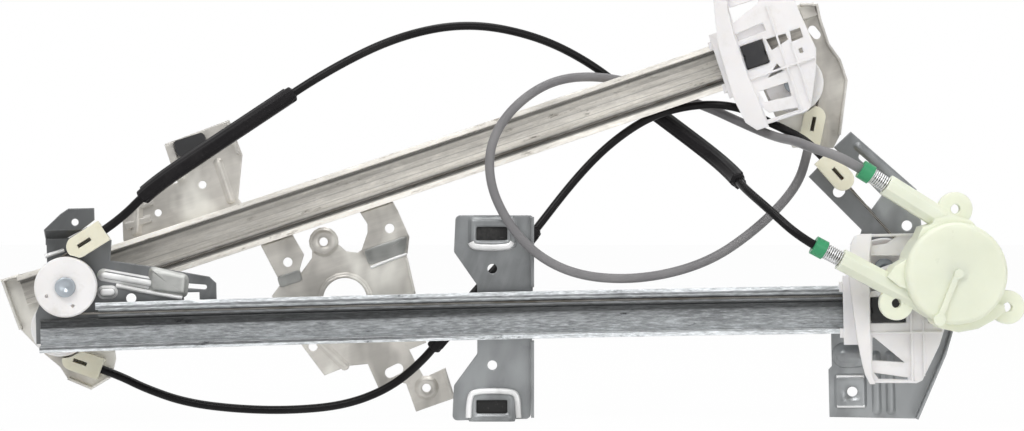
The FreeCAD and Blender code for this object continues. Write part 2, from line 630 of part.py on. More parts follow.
def carrier(frame, bar_outline, own_windows, block_end):
    """Carrier with its shoes, drawn upright on either rail."""
    side = frame.pulley_side
    back = block(-24, CARRIER_LEAN - 14, -20, 20, CARRIER_BACK + 2, CARRIER_BACK)
    body = fused([carrier_blank(bar_outline, own_windows), back] + carrier_shoes(side))
    seat = block(BLOCK_START - BLOCK_GAP, block_end + BLOCK_GAP, -BLOCK_HALF_HEIGHT - BLOCK_GAP,
                 BLOCK_HALF_HEIGHT + BLOCK_GAP, TALL, 0)
    return frame.place(body.cut(seat), CARRIER_REST)


def cable_block(frame, block_end):
    """Black block in the carrier's middle, with a leg that carries the cable nipple."""
    side = frame.pulley_side
    half = BLOCK_HALF_HEIGHT
    body = rounded(block(BLOCK_START, block_end, -half, half, CARRIER_FRONT - 5,
                         CARRIER_BACK - 0.6), 1.0, upright)
    notches = [block(BLOCK_START - 1, BLOCK_START + 1, -1.5, 1.5, CARRIER_FRONT, CARRIER_FRONT - 7),
               block(block_end - 1, block_end + 1, -2.5, 0.5, CARRIER_FRONT, CARRIER_FRONT - 7)]
    cable_z = PULLEY_TO_RAIL - PULLEY_CABLE_RADIUS
    z0, z1 = sorted((side * (cable_z - 2.6), side * (cable_z + 1.4)))
    leg = block(-24, -19, z0, z1, CARRIER_BACK, CABLE_LEVEL - 1.6)
    z2, z3 = sorted((0, side * (cable_z + 1.4)))
    arm = block(-24, BLOCK_START + 1, z2, z3, CARRIER_BACK - 0.1, CARRIER_BACK - 2.4)
    body = fused([body.cut(notches), leg, arm])
    groove = Part.makeCylinder(CABLE_RADIUS + CABLE_CLEARANCE, 30,
                               Vec(-35, -CABLE_LEVEL, side * cable_z), Vec(1, 0, 0))
    return frame.place(body.cut(groove), CARRIER_REST)


def cable_run(frame, left_end, right_end):
    """Cable of one rail: conduit to pulley, along the rail and out to the next conduit."""
    level = -CABLE_LEVEL
    cable_z = PULLEY_TO_RAIL - PULLEY_CABLE_RADIUS

    def spot(end, distance):
        p = end.local(distance)
        return end.frame.point(p.x, p.y, p.z, end.along)

    def wrap(end):
        """Arc round the pulley, from the conduit side to the rail side."""
        start = math.atan2(end.tz - PULLEY_TO_RAIL, end.tx)
        stop = -math.pi / 2
        if end.side < 0:
            stop = 3 * math.pi / 2
            start = start % (2 * math.pi)
        middle = (start + stop) / 2
        spots = []
        for turn in (start, middle, stop):
            x = PULLEY_CABLE_RADIUS * math.cos(turn)
            z = PULLEY_TO_RAIL + PULLEY_CABLE_RADIUS * math.sin(turn)
            spots.append(end.frame.point(x, level, z, end.along))
        return spots

    left = wrap(left_end)
    right = wrap(right_end)
    middle = frame.point(0, level, cable_z, (frame.left + frame.right) / 2)
    edges = [Part.LineSegment(spot(left_end, left_end.reach), left[0]).toShape(),
             Part.Arc(left[0], left[1], left[2]).toShape(),
             Part.Arc(left[2], middle, right[2]).toShape(),
             Part.Arc(right[2], right[1], right[0]).toShape(),
             Part.LineSegment(right[0], spot(right_end, right_end.reach)).toShape()]
    return swept(edges, CABLE_RADIUS)


def swept(edges, radius):
    """Solid round bar along a line of edges."""
    start = edges[0].valueAt(edges[0].FirstParameter)
    heading = edges[0].tangentAt(edges[0].FirstParameter)
    ring = Part.Wire(Part.makeCircle(radius, start, heading))
    return Part.Wire(edges).makePipeShell([ring], True, False)


def route_edges(points, name):
    """Straight runs joined by tangent arcs; prints the tightest arc."""
    edges = []
    radii = []
    last = points[0]
    for before, corner, after in zip(points, points[1:], points[2:]):
        a = (before - corner).normalize()
        b = (after - corner).normalize()
        half_turn = (math.pi - a.getAngle(b)) / 2
        tangent = ARC_SHARE * min((before - corner).Length, (after - corner).Length)
        radii.append(tangent / math.tan(half_turn))
        first = corner + a * tangent
        second = corner + b * tangent
        bisector = (a + b).normalize()
        rise = radii[-1] / math.cos(half_turn) - radii[-1]
        edges.append(Part.LineSegment(last, first).toShape())
        edges.append(Part.Arc(first, corner + bisector * rise, second).toShape())
        last = second
    edges.append(Part.LineSegment(last, points[-1]).toShape())
    print(name, "tightest arc", round(min(radii), 1), "radii", [round(r) for r in radii])
    return edges


def sleeve(edges, conduit_radius):
    """Rubber sleeve over part of a conduit."""
    inner = conduit_radius + SLEEVE_GAP
    return swept(edges, inner + SLEEVE_WALL).cut(swept(edges, inner))


def inlet_axis(angle, turn_side):
    """Foot and outward direction of an inlet, both in the drum's middle plane."""
    turn = math.radians(angle)
    outward = Vec(math.cos(turn), 0, math.sin(turn))
    normal = Vec(math.sin(turn), 0, -math.cos(turn)) * turn_side
    return HOUSING_CENTRE + normal * DRUM_CABLE_RADIUS, outward


UPPER_FOOT, UPPER_OUT = inlet_axis(UPPER_INLET_ANGLE, 1)
LOWER_FOOT, LOWER_OUT = inlet_axis(LOWER_INLET_ANGLE, -1)
CONDUIT_FROM_TUBE = SPRING_LENGTH + CAP_LENGTH - 5.0


def drum_axis_solid(radius, front, back):
    """Cylinder on the drum's axis, between two levels from its middle plane."""
    return moved(disc(radius, front, back), HOUSING_CENTRE)


def ears(radius, front, back):
    shapes = []
    for angle in EAR_ANGLES:
        turn = math.radians(angle)
        x = SCREW_CIRCLE_RADIUS * math.cos(turn)
        z = SCREW_CIRCLE_RADIUS * math.sin(turn)
        shapes.append(moved(disc(radius, front, back, x, z), HOUSING_CENTRE))
    return shapes


def inlet(foot, outward, radius, length, start=0.0):
    return Part.makeCylinder(radius, length - start, foot + outward * start, outward)


def inlet_shell(foot, outward, length):
    """Eight-sided inlet tube with one flat facing front."""
    level = Vec(0, 1, 0)
    across = level.cross(outward)
    half_turn = math.pi / INLET_SIDES
    reach = INLET_RADIUS / math.cos(half_turn)
    corners = []
    for i in range(INLET_SIDES):
        turn = (2 * i + 1) * half_turn
        corners.append(foot + (across * math.cos(turn) + level * math.sin(turn)) * reach)
    face = Part.Face(Part.makePolygon(corners + corners[:1]))
    return face.extrude(outward * length)


def drum_housing():
    """Moulded housing: drum well, three screw ears and two cable inlets."""
    front = HOUSING_HALF_THICKNESS
    outer = drum_axis_solid(HOUSING_RADIUS, front, 2.0 - front)
    outer = rounded(outer, 3.0, lambda e: e.CenterOfMass.y < HOUSING_CENTRE.y - front + 0.1)
    ear_front = EAR_THICKNESS - 1.0
    fairing = prism([(-8, 29), (-18.5, 26), (-22.7, 16), (-27.5, 8), (-34, 4), (-38, -2),
                     (-31, -7.5), (-22, -10), (0, -10), (0, 20)], 8.5, -6.0)
    lower_rim = prism([(-9, -30.5), (2, -33), (13, -31), (23, -25.5), (31, -18.5), (20, -16),
                       (0, -22), (-12, -22)], 6.0, -6.0)
    shoulder = prism([(-12, 30), (-3, 33), (8, 30), (16, 22), (-16, 20)], 7.5, -4.0)
    parts = [outer] + [moved(shape, HOUSING_CENTRE) for shape in (fairing, lower_rim, shoulder)]
    parts += ears(EAR_RADIUS, ear_front, -1.0)
    parts += [inlet_shell(UPPER_FOOT, UPPER_OUT, UPPER_INLET_LENGTH),
              inlet_shell(LOWER_FOOT, LOWER_OUT, LOWER_INLET_LENGTH)]
    rib = slot(32, 3.2, front + 1.6, front - 1, -5.5, -13, 68)
    lower_blob = disc(3.4, front + 1.8, 0, -10.3, -25.5)
    upper_blob = disc(2.6, front + 1.8, front - 1, 0.5, 0)
    parts += [moved(shape, HOUSING_CENTRE) for shape in (rib, lower_blob, upper_blob)]
    body = fused(parts)
    well = drum_axis_solid(DRUM_RADIUS + 1.0, DRUM_HALF_THICKNESS + 1.0, -front)
    bore = drum_axis_solid(DRUM_HUB_RADIUS + RUNNING_CLEARANCE, front - HOUSING_WALL + 1.0, 0)
    holes = ears(EAR_HOLE_RADIUS, front + 5, -front)
    bores = [inlet(UPPER_FOOT, UPPER_OUT, INLET_BORE_RADIUS, UPPER_INLET_LENGTH + 1),
             inlet(LOWER_FOOT, LOWER_OUT, INLET_BORE_RADIUS, LOWER_INLET_LENGTH + 1)]
    return body.cut([well, bore] + holes + bores)


def drum_cover():
    """Back cover that closes the drum well round the drive bore."""
    back = HOUSING_HALF_THICKNESS
    plate = drum_axis_solid(HOUSING_RADIUS - 0.5, 2.0 - back, -back)
    return plate.cut(drum_axis_solid(DRUM_HUB_RADIUS + RUNNING_CLEARANCE, 0, -back - 1))


def cable_drum():
    """Grooved drum on its hub, with a round drive bore."""
    half = DRUM_HALF_THICKNESS
    groove = PULLEY_GROOVE_WIDTH / 2
    flank = 0.6
    edge = [(DRIVE_BORE_RADIUS, half), (DRUM_RADIUS, half)]
    for level in (4.0, 0.0, -4.0):
        edge += [(DRUM_RADIUS, level + groove + flank), (DRUM_GROOVE_RADIUS, level + groove),
                 (DRUM_GROOVE_RADIUS, level - groove), (DRUM_RADIUS, level - groove - flank)]
    edge += [(DRUM_RADIUS, -half), (DRIVE_BORE_RADIUS, -half)]
    corners = [Vec(r, -level, 0) for r, level in edge]
    face = Part.Face(Part.makePolygon(corners + corners[:1]))
    body = moved(face.revolve(Vec(0, 0, 0), Vec(0, 1, 0), 360), HOUSING_CENTRE)
    hub_front = HOUSING_HALF_THICKNESS - HOUSING_WALL
    hub = drum_axis_solid(DRUM_HUB_RADIUS, hub_front, -HOUSING_HALF_THICKNESS)
    return fused([body, hub]).cut(drum_axis_solid(DRIVE_BORE_RADIUS, 8.0, -20))


def drum_cable():
    """Cable from both conduit ends, round the drum's middle groove."""
    far = CONDUIT_FROM_TUBE
    upper_end = UPPER_FOOT + UPPER_OUT * (UPPER_INLET_LENGTH + far)
    lower_end = LOWER_FOOT + LOWER_OUT * (LOWER_INLET_LENGTH + far)
    a = UPPER_FOOT - HOUSING_CENTRE
    b = LOWER_FOOT - HOUSING_CENTRE
    outward = -(UPPER_OUT + LOWER_OUT).normalize()
    middle = HOUSING_CENTRE + outward * a.Length
    edges = [Part.LineSegment(upper_end, UPPER_FOOT).toShape(),
             Part.Arc(UPPER_FOOT, middle, HOUSING_CENTRE + b).toShape(),
             Part.LineSegment(LOWER_FOOT, lower_end).toShape()]
    return swept(edges, CABLE_RADIUS)


def end_cap(foot, outward, tube_length, conduit_radius):
    """Green cap on a conduit's end, pushed out by its spring."""
    start = tube_length + SPRING_LENGTH
    body = inlet(foot, outward, CAP_RADIUS, start + CAP_LENGTH, start)
    seat = inlet(foot, outward, conduit_radius + SEAT_CLEARANCE, start + CAP_LENGTH + 1,
                 start + CAP_LENGTH - 5.0)
    cable = inlet(foot, outward, CABLE_RADIUS + CABLE_CLEARANCE, start + CAP_LENGTH, start - 1)
    return body.cut([seat, cable])


def tension_spring(foot, outward, tube_length):
    """Coil spring between an inlet's mouth and the cap."""
    wire = SPRING_WIRE_RADIUS
    length = SPRING_LENGTH - 2 * wire
    pitch = length / SPRING_TURNS
    helix = Part.makeHelix(pitch, length, SPRING_RADIUS)
    ring = Part.Wire(Part.makeCircle(wire, Vec(SPRING_RADIUS, 0, 0), Vec(0, 1, 0)))
    spring = Part.Wire(helix).makePipeShell([ring], True, True)
    turn = FreeCAD.Rotation(Vec(0, 0, 1), outward)
    spring.Placement = FreeCAD.Placement(foot + outward * (tube_length + wire), turn)
    return spring


# Conduit routes: the hand-chosen points between each conduit's two seats
ROUTE_LOWER_INLET = [(-199, -28, 76.5), (-170, -26, 96.5), (-138, -21, 118.5), (-97, -13, 147),
                     (-56, -6, 168), (-15, 4, 177), (26, 19, 171), (60, 34, 156),
                     (91, 38, 132), (119, 29, 110), (136, 14, 95), (144, -8, 84.5),
                     (147, -28, 77), (158, -50, 64.5)]
ROUTE_CROSS = [(-210, 9, -44), (-185, 5, -52), (-155, 6, -56), (-122, 7, -57),
               (-89, 8, -54), (-63, 8, -44), (-44, 8, -29), (-28, 8, -10), (-9, 9, 12),
               (8, 12, 31), (22, 15.5, 46.5), (51, 24, 84), (74, 24, 107), (99, 20, 123),
               (126, 16, 129), (150, 10, 126.8), (165.7, 5.4, 117.5), (175.1, -7, 111.8)]
ROUTE_UPPER_INLET = [(182, -55, 99), (176, -35, 104), (170.9, -13, 106.5),
                     (164.7, 5, 110.4), (151.6, 18, 117.6), (131, 25, 128), (100, 29, 139),
                     (68, 28.5, 147), (38, 13, 144), (14, -1, 128), (-1, -6, 106), (-2, -9, 81), (8, -11, 58),
                     (25, -12, 38), (48, -12, 26), (76, -12, 22.6), (105, -13, 26),
                     (131, -14, 35), (153, -13, 50), (171, -9, 66), (183, -1, 80)]


def as_points(rows):
    return [Vec(*row) for row in rows]


def conduit_routes():
    """Full routes, each starting and ending straight in its seats."""
    tip = CONDUIT_FROM_TUBE
    lower = LOWER_FOOT + LOWER_OUT * (LOWER_INLET_LENGTH + tip)
    upper = UPPER_FOOT + UPPER_OUT * (UPPER_INLET_LENGTH + tip)
    lower_inlet = [A_LEFT.lead(), A_LEFT.lead(LEAD)] + as_points(ROUTE_LOWER_INLET)
    lower_inlet += [lower + LOWER_OUT * LOWER_INLET_LEAD, lower]
    cross = [B_LEFT.lead(), B_LEFT.lead(LEAD)] + as_points(ROUTE_CROSS)
    cross += [A_RIGHT.lead(LEAD), A_RIGHT.lead()]
    upper_inlet = [upper, upper + UPPER_OUT * UPPER_INLET_LEAD] + as_points(ROUTE_UPPER_INLET)
    upper_inlet += [B_RIGHT.lead(LEAD), B_RIGHT.lead()]
    return lower_inlet, cross, upper_inlet


def length_of(edges):
    return sum(edge.Length for edge in edges)


def conduits():
    """The three conduits and the rubber sleeves on them, by node name."""
    lower, cross, upper = conduit_routes()
    shapes = {}
    for name, route, radius in (("lower_inlet_conduit", lower, CONDUIT_RADIUS),
                                ("cross_conduit", cross, CONDUIT_RADIUS),
                                ("upper_inlet_conduit", upper, GREY_CONDUIT_RADIUS)):
        print(name, "route", [(round(p.x, 1), round(p.y, 1), round(p.z, 1)) for p in route])
        edges = route_edges(route, name)
        runs = [(b - a).Length for a, b in zip(route, route[1:])]
        print(name, "runs", [round(run) for run in runs])
        tube = swept(edges, radius)
        expected = math.pi * radius ** 2 * length_of(edges)
        print(name, "length", round(length_of(edges), 1), "volume ratio",
              round(tube.Volume / expected, 5))
        shapes[name] = tube
        if name == "lower_inlet_conduit":
            shapes["long_sleeve"] = sleeve(edges[3:8], radius)
            shapes["rear_sleeve"] = sleeve(edges[20:25], radius)
        if name == "cross_conduit":
            shapes["bracket_sleeve"] = sleeve(edges[17:24], radius)
    return shapes


def build():
    """Every node of the regulator, by name."""
    nodes = {
        "rail_a": rail(RAIL_A),
        "rail_b": rail(RAIL_B),
        "left_bracket_a": left_bracket_a(),
        "left_bracket_b": left_bracket_b(),
        "mid_bracket": mid_bracket(),
        "mid_bracket_buffers": mid_bracket_buffers(),
        "right_bracket_a": right_bracket_a(),
        "right_bracket_b": right_bracket_b(),
        "motor_plate": motor_plate(),
        "upper_bracket_b": upper_bracket_b(),
        "conduit_clip": conduit_clip(),
        "carrier_a": carrier(RAIL_A, BAR_A, WINDOWS_A, BLOCK_END_A),
        "carrier_b": carrier(RAIL_B, BAR_B, WINDOWS_B, BLOCK_END_B),
        "cable_block_a": cable_block(RAIL_A, BLOCK_END_A),
        "cable_block_b": cable_block(RAIL_B, BLOCK_END_B),
        "rail_cable_a": cable_run(RAIL_A, A_LEFT, A_RIGHT),
        "rail_cable_b": cable_run(RAIL_B, B_LEFT, B_RIGHT),
        "drum_housing": drum_housing(),
        "drum_cover": drum_cover(),
        "cable_drum": cable_drum(),
        "drum_cable": drum_cable(),
        "upper_cap": end_cap(UPPER_FOOT, UPPER_OUT, UPPER_INLET_LENGTH, GREY_CONDUIT_RADIUS),
        "lower_cap": end_cap(LOWER_FOOT, LOWER_OUT, LOWER_INLET_LENGTH, CONDUIT_RADIUS),
        "upper_spring": tension_spring(UPPER_FOOT, UPPER_OUT, UPPER_INLET_LENGTH),
        "lower_spring": tension_spring(LOWER_FOOT, LOWER_OUT, LOWER_INLET_LENGTH),
    }
    for name, end in (("a_left", A_LEFT), ("a_right", A_RIGHT), ("b_left", B_LEFT),
                      ("b_right", B_RIGHT)):
        nodes["pulley_" + name] = pulley(end.frame, end.along)
        nodes["pulley_rivet_" + name] = pulley_rivet(end.frame, end.along)
        nodes["conduit_holder_" + name] = holder(end)
    nodes.update(conduits())
    return nodes


os.makedirs("parts", exist_ok=True)
for node, shape in build().items():
    print(node, shape.ShapeType, "solids", len(shape.Solids), "valid", shape.isValid(),
          "volume", round(shape.Volume))
    shape.exportStep("parts/" + node + ".step")
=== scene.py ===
"""Window regulator: materials, moulded detail, conduits and studio for the CAD frame."""
import json
import math
import bmesh
import bpy
from mathutils import Matrix, Vector

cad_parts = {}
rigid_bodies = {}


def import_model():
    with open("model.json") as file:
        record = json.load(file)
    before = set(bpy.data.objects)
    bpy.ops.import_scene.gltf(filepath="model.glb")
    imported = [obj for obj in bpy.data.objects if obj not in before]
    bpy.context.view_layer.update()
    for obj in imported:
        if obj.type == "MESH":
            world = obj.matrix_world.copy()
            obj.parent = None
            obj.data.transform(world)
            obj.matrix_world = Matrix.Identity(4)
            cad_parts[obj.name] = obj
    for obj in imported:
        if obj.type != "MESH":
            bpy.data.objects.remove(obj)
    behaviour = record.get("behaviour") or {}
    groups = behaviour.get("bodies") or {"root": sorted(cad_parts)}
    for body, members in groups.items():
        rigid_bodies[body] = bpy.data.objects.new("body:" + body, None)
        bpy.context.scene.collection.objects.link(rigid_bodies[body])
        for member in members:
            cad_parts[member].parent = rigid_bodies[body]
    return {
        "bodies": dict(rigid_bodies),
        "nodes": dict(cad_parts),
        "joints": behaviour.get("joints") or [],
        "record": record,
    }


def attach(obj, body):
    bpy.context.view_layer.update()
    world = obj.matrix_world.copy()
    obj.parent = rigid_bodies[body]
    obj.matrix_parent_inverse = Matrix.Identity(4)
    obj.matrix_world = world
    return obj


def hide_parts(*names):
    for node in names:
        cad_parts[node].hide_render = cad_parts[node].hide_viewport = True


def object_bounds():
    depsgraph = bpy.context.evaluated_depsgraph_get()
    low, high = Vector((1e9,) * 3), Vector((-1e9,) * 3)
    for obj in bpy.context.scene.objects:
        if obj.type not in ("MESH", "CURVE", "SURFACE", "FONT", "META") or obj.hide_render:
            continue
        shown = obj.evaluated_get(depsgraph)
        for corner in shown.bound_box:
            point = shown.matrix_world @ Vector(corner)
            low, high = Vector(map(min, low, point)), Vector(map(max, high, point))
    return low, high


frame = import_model()
CAD_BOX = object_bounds()
MM = 0.001
ROOT = "rails_and_brackets"


# Places on the bowed rails, in millimetres as in the CAD

BOW_RADIUS = 1300.0
BAND_HALF = 16.0  # the colour bands of a rail reach this far to both sides of its middle


class Rail:
    """Maps shapes drawn at a rail's middle to the world, as the CAD does."""

    def __init__(self, origin, tilt, side):
        self.origin = Vector(origin)
        self.tilt = math.radians(tilt)
        self.side = side

    def matrix(self, along, mirror=False):
        """Place some way along the bow; mirror turns shapes over where the pulleys are below."""
        bow = Matrix.Rotation(-along / BOW_RADIUS, 4, "Z")
        bow = Matrix.Translation((0, -BOW_RADIUS, 0)) @ bow
        placed = Matrix.Translation(self.origin) @ Matrix.Rotation(-self.tilt, 4, "Y")
        placed = placed @ bow @ Matrix.Translation((0, BOW_RADIUS, 0))
        if mirror and self.side < 0:
            placed = placed @ Matrix.Scale(-1, 4, (0, 0, 1))
        return Matrix.Scale(MM, 4) @ placed


RAIL_A = Rail((0, -1.5, 1.4), 1.3, 1)
RAIL_B = Rail((-57, 34, 85.7), 18.4, -1)
LEFT_A, RIGHT_A = -249.5, 231.5  # pulleys of rail A, which its end brackets are drawn from
PLATE, SHELF = -50.0, -118.0  # motor plate and upper bracket of rail B


# Materials

class Nodes:
    """Short calls for adding and joining the nodes of an emptied tree."""

    def __init__(self, tree):
        self.tree = tree
        self.tree.nodes.clear()

    def add(self, kind, **settings):
        node = self.tree.nodes.new(kind)
        for key, value in settings.items():
            setattr(node, key, value)
        return node

    def join(self, source, output, target, entry):
        self.tree.links.new(source.outputs[output], target.inputs[entry])

    def range(self, source, output, low, high, start=0.3, end=0.7):
        """Map a value from start..end to low..high."""
        node = self.add("ShaderNodeMapRange")
        node.inputs["From Min"].default_value = start
        node.inputs["From Max"].default_value = end
        node.inputs["To Min"].default_value = low
        node.inputs["To Max"].default_value = high
        self.join(source, output, node, "Value")
        return node


class Shader(Nodes):
    """A principled material."""

    def __init__(self, name, **values):
        self.mat = bpy.data.materials.new(name)
        self.mat.use_nodes = True
        super().__init__(self.mat.node_tree)
        self.out = self.add("ShaderNodeOutputMaterial")
        self.bsdf = self.add("ShaderNodeBsdfPrincipled")
        self.join(self.bsdf, 0, self.out, "Surface")
        for key, value in values.items():
            self.bsdf.inputs[key.replace("_", " ")].default_value = value

    def upright(self, tilt):
        """Object coordinates turned upright to a rail tilted by an angle in radians."""
        coords = self.add("ShaderNodeTexCoord")
        turned = self.add("ShaderNodeMapping")
        turned.inputs["Rotation"].default_value = (0, tilt, 0)
        self.join(coords, "Object", turned, "Vector")
        return turned

    def place(self, scale, tilt=0.0):
        """Scaled coordinates, upright to a rail tilted by an angle in degrees."""
        scaled = self.add("ShaderNodeMapping")
        scaled.inputs["Scale"].default_value = scale
        self.join(self.upright(math.radians(tilt)), "Vector", scaled, "Vector")
        return scaled

    def noise(self, place, detail, roughness):
        node = self.add("ShaderNodeTexNoise")
        node.inputs["Scale"].default_value = 1.0
        node.inputs["Detail"].default_value = detail
        node.inputs["Roughness"].default_value = roughness
        self.join(place, "Vector", node, "Vector")
        return node

    def ramp(self, source, output, stops):
        """Colour ramp with (position, RGB tuple or grey level) stops."""
        node = self.add("ShaderNodeValToRGB")
        self.join(source, output, node, "Fac")
        ramp = node.color_ramp
        while len(ramp.elements) < len(stops):
            ramp.elements.new(0.5)
        for element, (position, colour) in zip(ramp.elements, stops):
            element.position = position
            value = colour if hasattr(colour, "__len__") else (colour,) * 3
            element.color = (*value, 1)
        return node

    def mix(self, factor, output, first, second, blend="MIX"):
        """Mix two colours; each is an RGB tuple or a node whose colour output is used."""
        node = self.add("ShaderNodeMixRGB", blend_type=blend)
        if isinstance(factor, float):
            node.inputs["Fac"].default_value = factor
        else:
            self.join(factor, output, node, "Fac")
        for name, value in (("Color1", first), ("Color2", second)):
            if isinstance(value, tuple):
                node.inputs[name].default_value = (*value, 1)
            else:
                self.join(value, "Color", node, name)
        return node

    def bump(self, source, output, strength, distance):
        node = self.add("ShaderNodeBump")
        node.inputs["Strength"].default_value = strength
        node.inputs["Distance"].default_value = distance
        self.join(source, output, node, "Height")
        return node

    def edges(self, radius):
        """Range node that is 1 along edges, and the node of the rounded normal it comes from."""
        soft = self.add("ShaderNodeBevel", samples=4)
        soft.inputs["Radius"].default_value = radius
        plain = self.add("ShaderNodeNewGeometry")
        dot = self.add("ShaderNodeVectorMath", operation="DOT_PRODUCT")
        self.join(soft, "Normal", dot, 0)
        self.join(plain, "Normal", dot, 1)
        return self.range(dot, "Value", 1.0, 0.0, 0.75, 0.985), soft

    def split(self, tilt=0.0):
        """Upright coordinates as separate X, Y and Z."""
        split = self.add("ShaderNodeSeparateXYZ")
        self.join(self.upright(tilt), "Vector", split, "Vector")
        return split

    def across(self, rail, left, right, start, end):
        """Colours laid across a rail as (millimetres from its middle, colour) stops.

        The left stops give way to the right ones between two places along the rail.
        """
        split = self.split(rail.tilt)
        middle = rail.origin.z * math.cos(rail.tilt) - rail.origin.x * math.sin(rail.tilt)
        level = self.range(split, "Z", 0, 1, (middle - BAND_HALF) * MM,
                           (middle + BAND_HALF) * MM)
        ramps = [self.ramp(level, "Result", [((place + BAND_HALF) / (2 * BAND_HALF), colour)
                                             for place, colour in stops])
                 for stops in (left, right)]
        share = self.range(split, "X", 0, 1, start * MM, end * MM)
        return self.mix(share, "Result", ramps[0], ramps[1])


def times(colour, factor):
    """Colour made brighter or darker by a factor."""
    return tuple(min(1.0, c * factor) for c in colour)


def rail_zinc(name, rail, base, grease_shade_highlight_bands, speck, speck_share, metallic, blotch):
    """Zinc plated rail: streaks, clouds, dark specks, blots, and stripes along it that are partly
    grease, with painted shade in the channels and painted highlight on the lips.

    The argument after base holds what Shader.across takes after the rail.
    """
    s = Shader(name, Metallic=metallic, Specular_IOR_Level=0.5)
    tilt = math.degrees(rail.tilt)
    long_streaks = s.noise(s.place((7, 120, 150), tilt), 5, 0.6)
    mottle = s.noise(s.place((60, 110, 190), tilt), 6, 0.65)
    cloud = s.noise(s.place((12, 20, 45), tilt), 4, 0.6)
    tone = s.mix(s.range(long_streaks, "Fac", 0, 1, 0.36, 0.64), "Result", times(base, 0.82),
                 times(base, 1.16))
    tone = s.mix(s.range(cloud, "Fac", 0, 0.55, 0.5, 0.66), "Result", tone, times(base, 0.66))
    tone = s.mix(s.range(mottle, "Fac", 0, 0.5, 0.55, 0.68), "Result", tone, times(base, 1.35))
    tone = s.mix(s.range(mottle, "Fac", speck_share, 0, 0.30, 0.40), "Result", tone, speck)
    blots = s.noise(s.place((150, 60, 1100), tilt), 8, 0.75)
    tone = s.mix(s.range(blots, "Fac", 0, blotch, 0.50, 0.60), "Result", tone, times(base, 0.4))
    tone = s.mix(s.range(blots, "Fac", blotch, 0, 0.40, 0.47), "Result", tone, times(base, 1.7))
    # Stripes across the rail: partly grease, painted shade in the channels and painted highlight
    # on the lips
    tone = s.mix(1.0, "", tone, s.across(rail, *grease_shade_highlight_bands), "MULTIPLY")
    # Painted highlight: the edges are mixed towards near white
    edge_highlight, soft = s.edges(0.0006)
    tone = s.mix(s.range(edge_highlight, "Result", 0, 0.4, 0, 1), "Result", tone, (0.85, 0.85, 0.84))
    s.join(tone, "Color", s.bsdf, "Base Color")
    s.join(s.range(mottle, "Fac", 0.26, 0.50, 0.3, 0.7), "Result", s.bsdf, "Roughness")
    bump = s.bump(long_streaks, "Fac", 0.10, 0.0004)
    fine = s.bump(mottle, "Fac", 0.12, 0.0003)
    s.join(soft, "Normal", bump, "Normal")
    s.join(bump, "Normal", fine, "Normal")
    s.join(fine, "Normal", s.bsdf, "Normal")
    return s.mat


def bracket_zinc(name, base, tilt, metallic, glint, glint_share, waves, drift):
    """Pressed zinc plated sheet: cloudy sheen, faint rolling lines, a painted highlight along the
    edges.

    waves is how far the sheet's bumps reach in metres; drift is a painted shade, the brightness
    at the left and at the right.
    """
    s = Shader(name, Metallic=metallic, Specular_IOR_Level=0.5)
    cloud = s.noise(s.place((16, 16, 16), tilt), 3, 0.5)
    lines = s.noise(s.place((12, 300, 300), tilt), 4, 0.55)
    fine = s.noise(s.place((150, 150, 150), tilt), 5, 0.6)
    tone = s.mix(s.range(cloud, "Fac", 0, 1, 0.34, 0.66), "Result", times(base, 0.74),
                 times(base, 1.22))
    tone = s.mix(s.range(lines, "Fac", 0, 0.30, 0.45, 0.70), "Result", tone, times(base, 1.3))
    tone = s.mix(s.range(fine, "Fac", 0, 0.22, 0.58, 0.72), "Result", tone, times(base, 0.6))
    # The broad patches stay almost level: they turn by a small part of the tilt only
    broad = s.noise(s.place((26, 26, 14), math.radians(tilt)), 3, 0.55)
    tone = s.mix(s.range(broad, "Fac", 0, 0.7, 0.50, 0.62), "Result", tone, times(base, 1.6))
    tone = s.mix(s.range(broad, "Fac", 0.6, 0, 0.38, 0.47), "Result", tone, times(base, 0.55))
    # Painted shade from left to right, by the drift factors
    shade = s.ramp(s.range(s.split(), "X", 0, 1, -0.25, 0.22), "Result",
                   [(0.0, drift[0]), (0.3, 0.3 * drift[0] + 0.7 * drift[1]), (1.0, drift[1])])
    tone = s.mix(1.0, "", tone, shade, "MULTIPLY")
    # Painted highlight along the edges, in the glint colour
    edge_highlight, soft = s.edges(0.0013)
    tone = s.mix(s.range(edge_highlight, "Result", 0, glint_share, 0.3, 1), "Result", tone, glint)
    s.join(tone, "Color", s.bsdf, "Base Color")
    s.join(s.range(fine, "Fac", 0.28, 0.44, 0.3, 0.7), "Result", s.bsdf, "Roughness")
    bump = s.bump(cloud, "Fac", 0.6, waves)
    grain = s.bump(lines, "Fac", 0.07, 0.0002)
    s.join(soft, "Normal", bump, "Normal")
    s.join(bump, "Normal", grain, "Normal")
    s.join(grain, "Normal", s.bsdf, "Normal")
    return s.mat


def plastic(name, base, shade, rough=0.42, soft_light=0.0, depth=0.004, grime=0.25,
            grime_colour=(0.30, 0.26, 0.19)):
    """Moulded plastic: slow colour drift, handling grime, fine grain and a painted highlight on
    the edges.
    """
    s = Shader(name, Specular_IOR_Level=0.45, Subsurface_Weight=soft_light,
               Subsurface_Scale=depth, Subsurface_Radius=(1.0, 0.9, 0.75))
    drift = s.noise(s.place((28, 28, 28)), 4, 0.5)
    dirt = s.noise(s.place((70, 70, 70)), 6, 0.65)
    tone = s.mix(s.range(drift, "Fac", 0, 1, 0.35, 0.65), "Result", shade, base)
    tone = s.mix(s.range(dirt, "Fac", 0, grime, 0.56, 0.74), "Result", tone, grime_colour)
    # Painted highlight: the edges are made paler
    edge_highlight, soft = s.edges(0.0006)
    tone = s.mix(s.range(edge_highlight, "Result", 0, 0.35, 0, 1), "Result", tone, times(base, 1.15))
    s.join(tone, "Color", s.bsdf, "Base Color")
    fine = s.noise(s.place((420, 420, 420)), 3, 0.6)
    s.join(s.range(dirt, "Fac", rough - 0.08, rough + 0.16), "Result", s.bsdf, "Roughness")
    bump = s.bump(fine, "Fac", 0.10, 0.0002)
    s.join(soft, "Normal", bump, "Normal")
    s.join(bump, "Normal", s.bsdf, "Normal")
    return s.mat


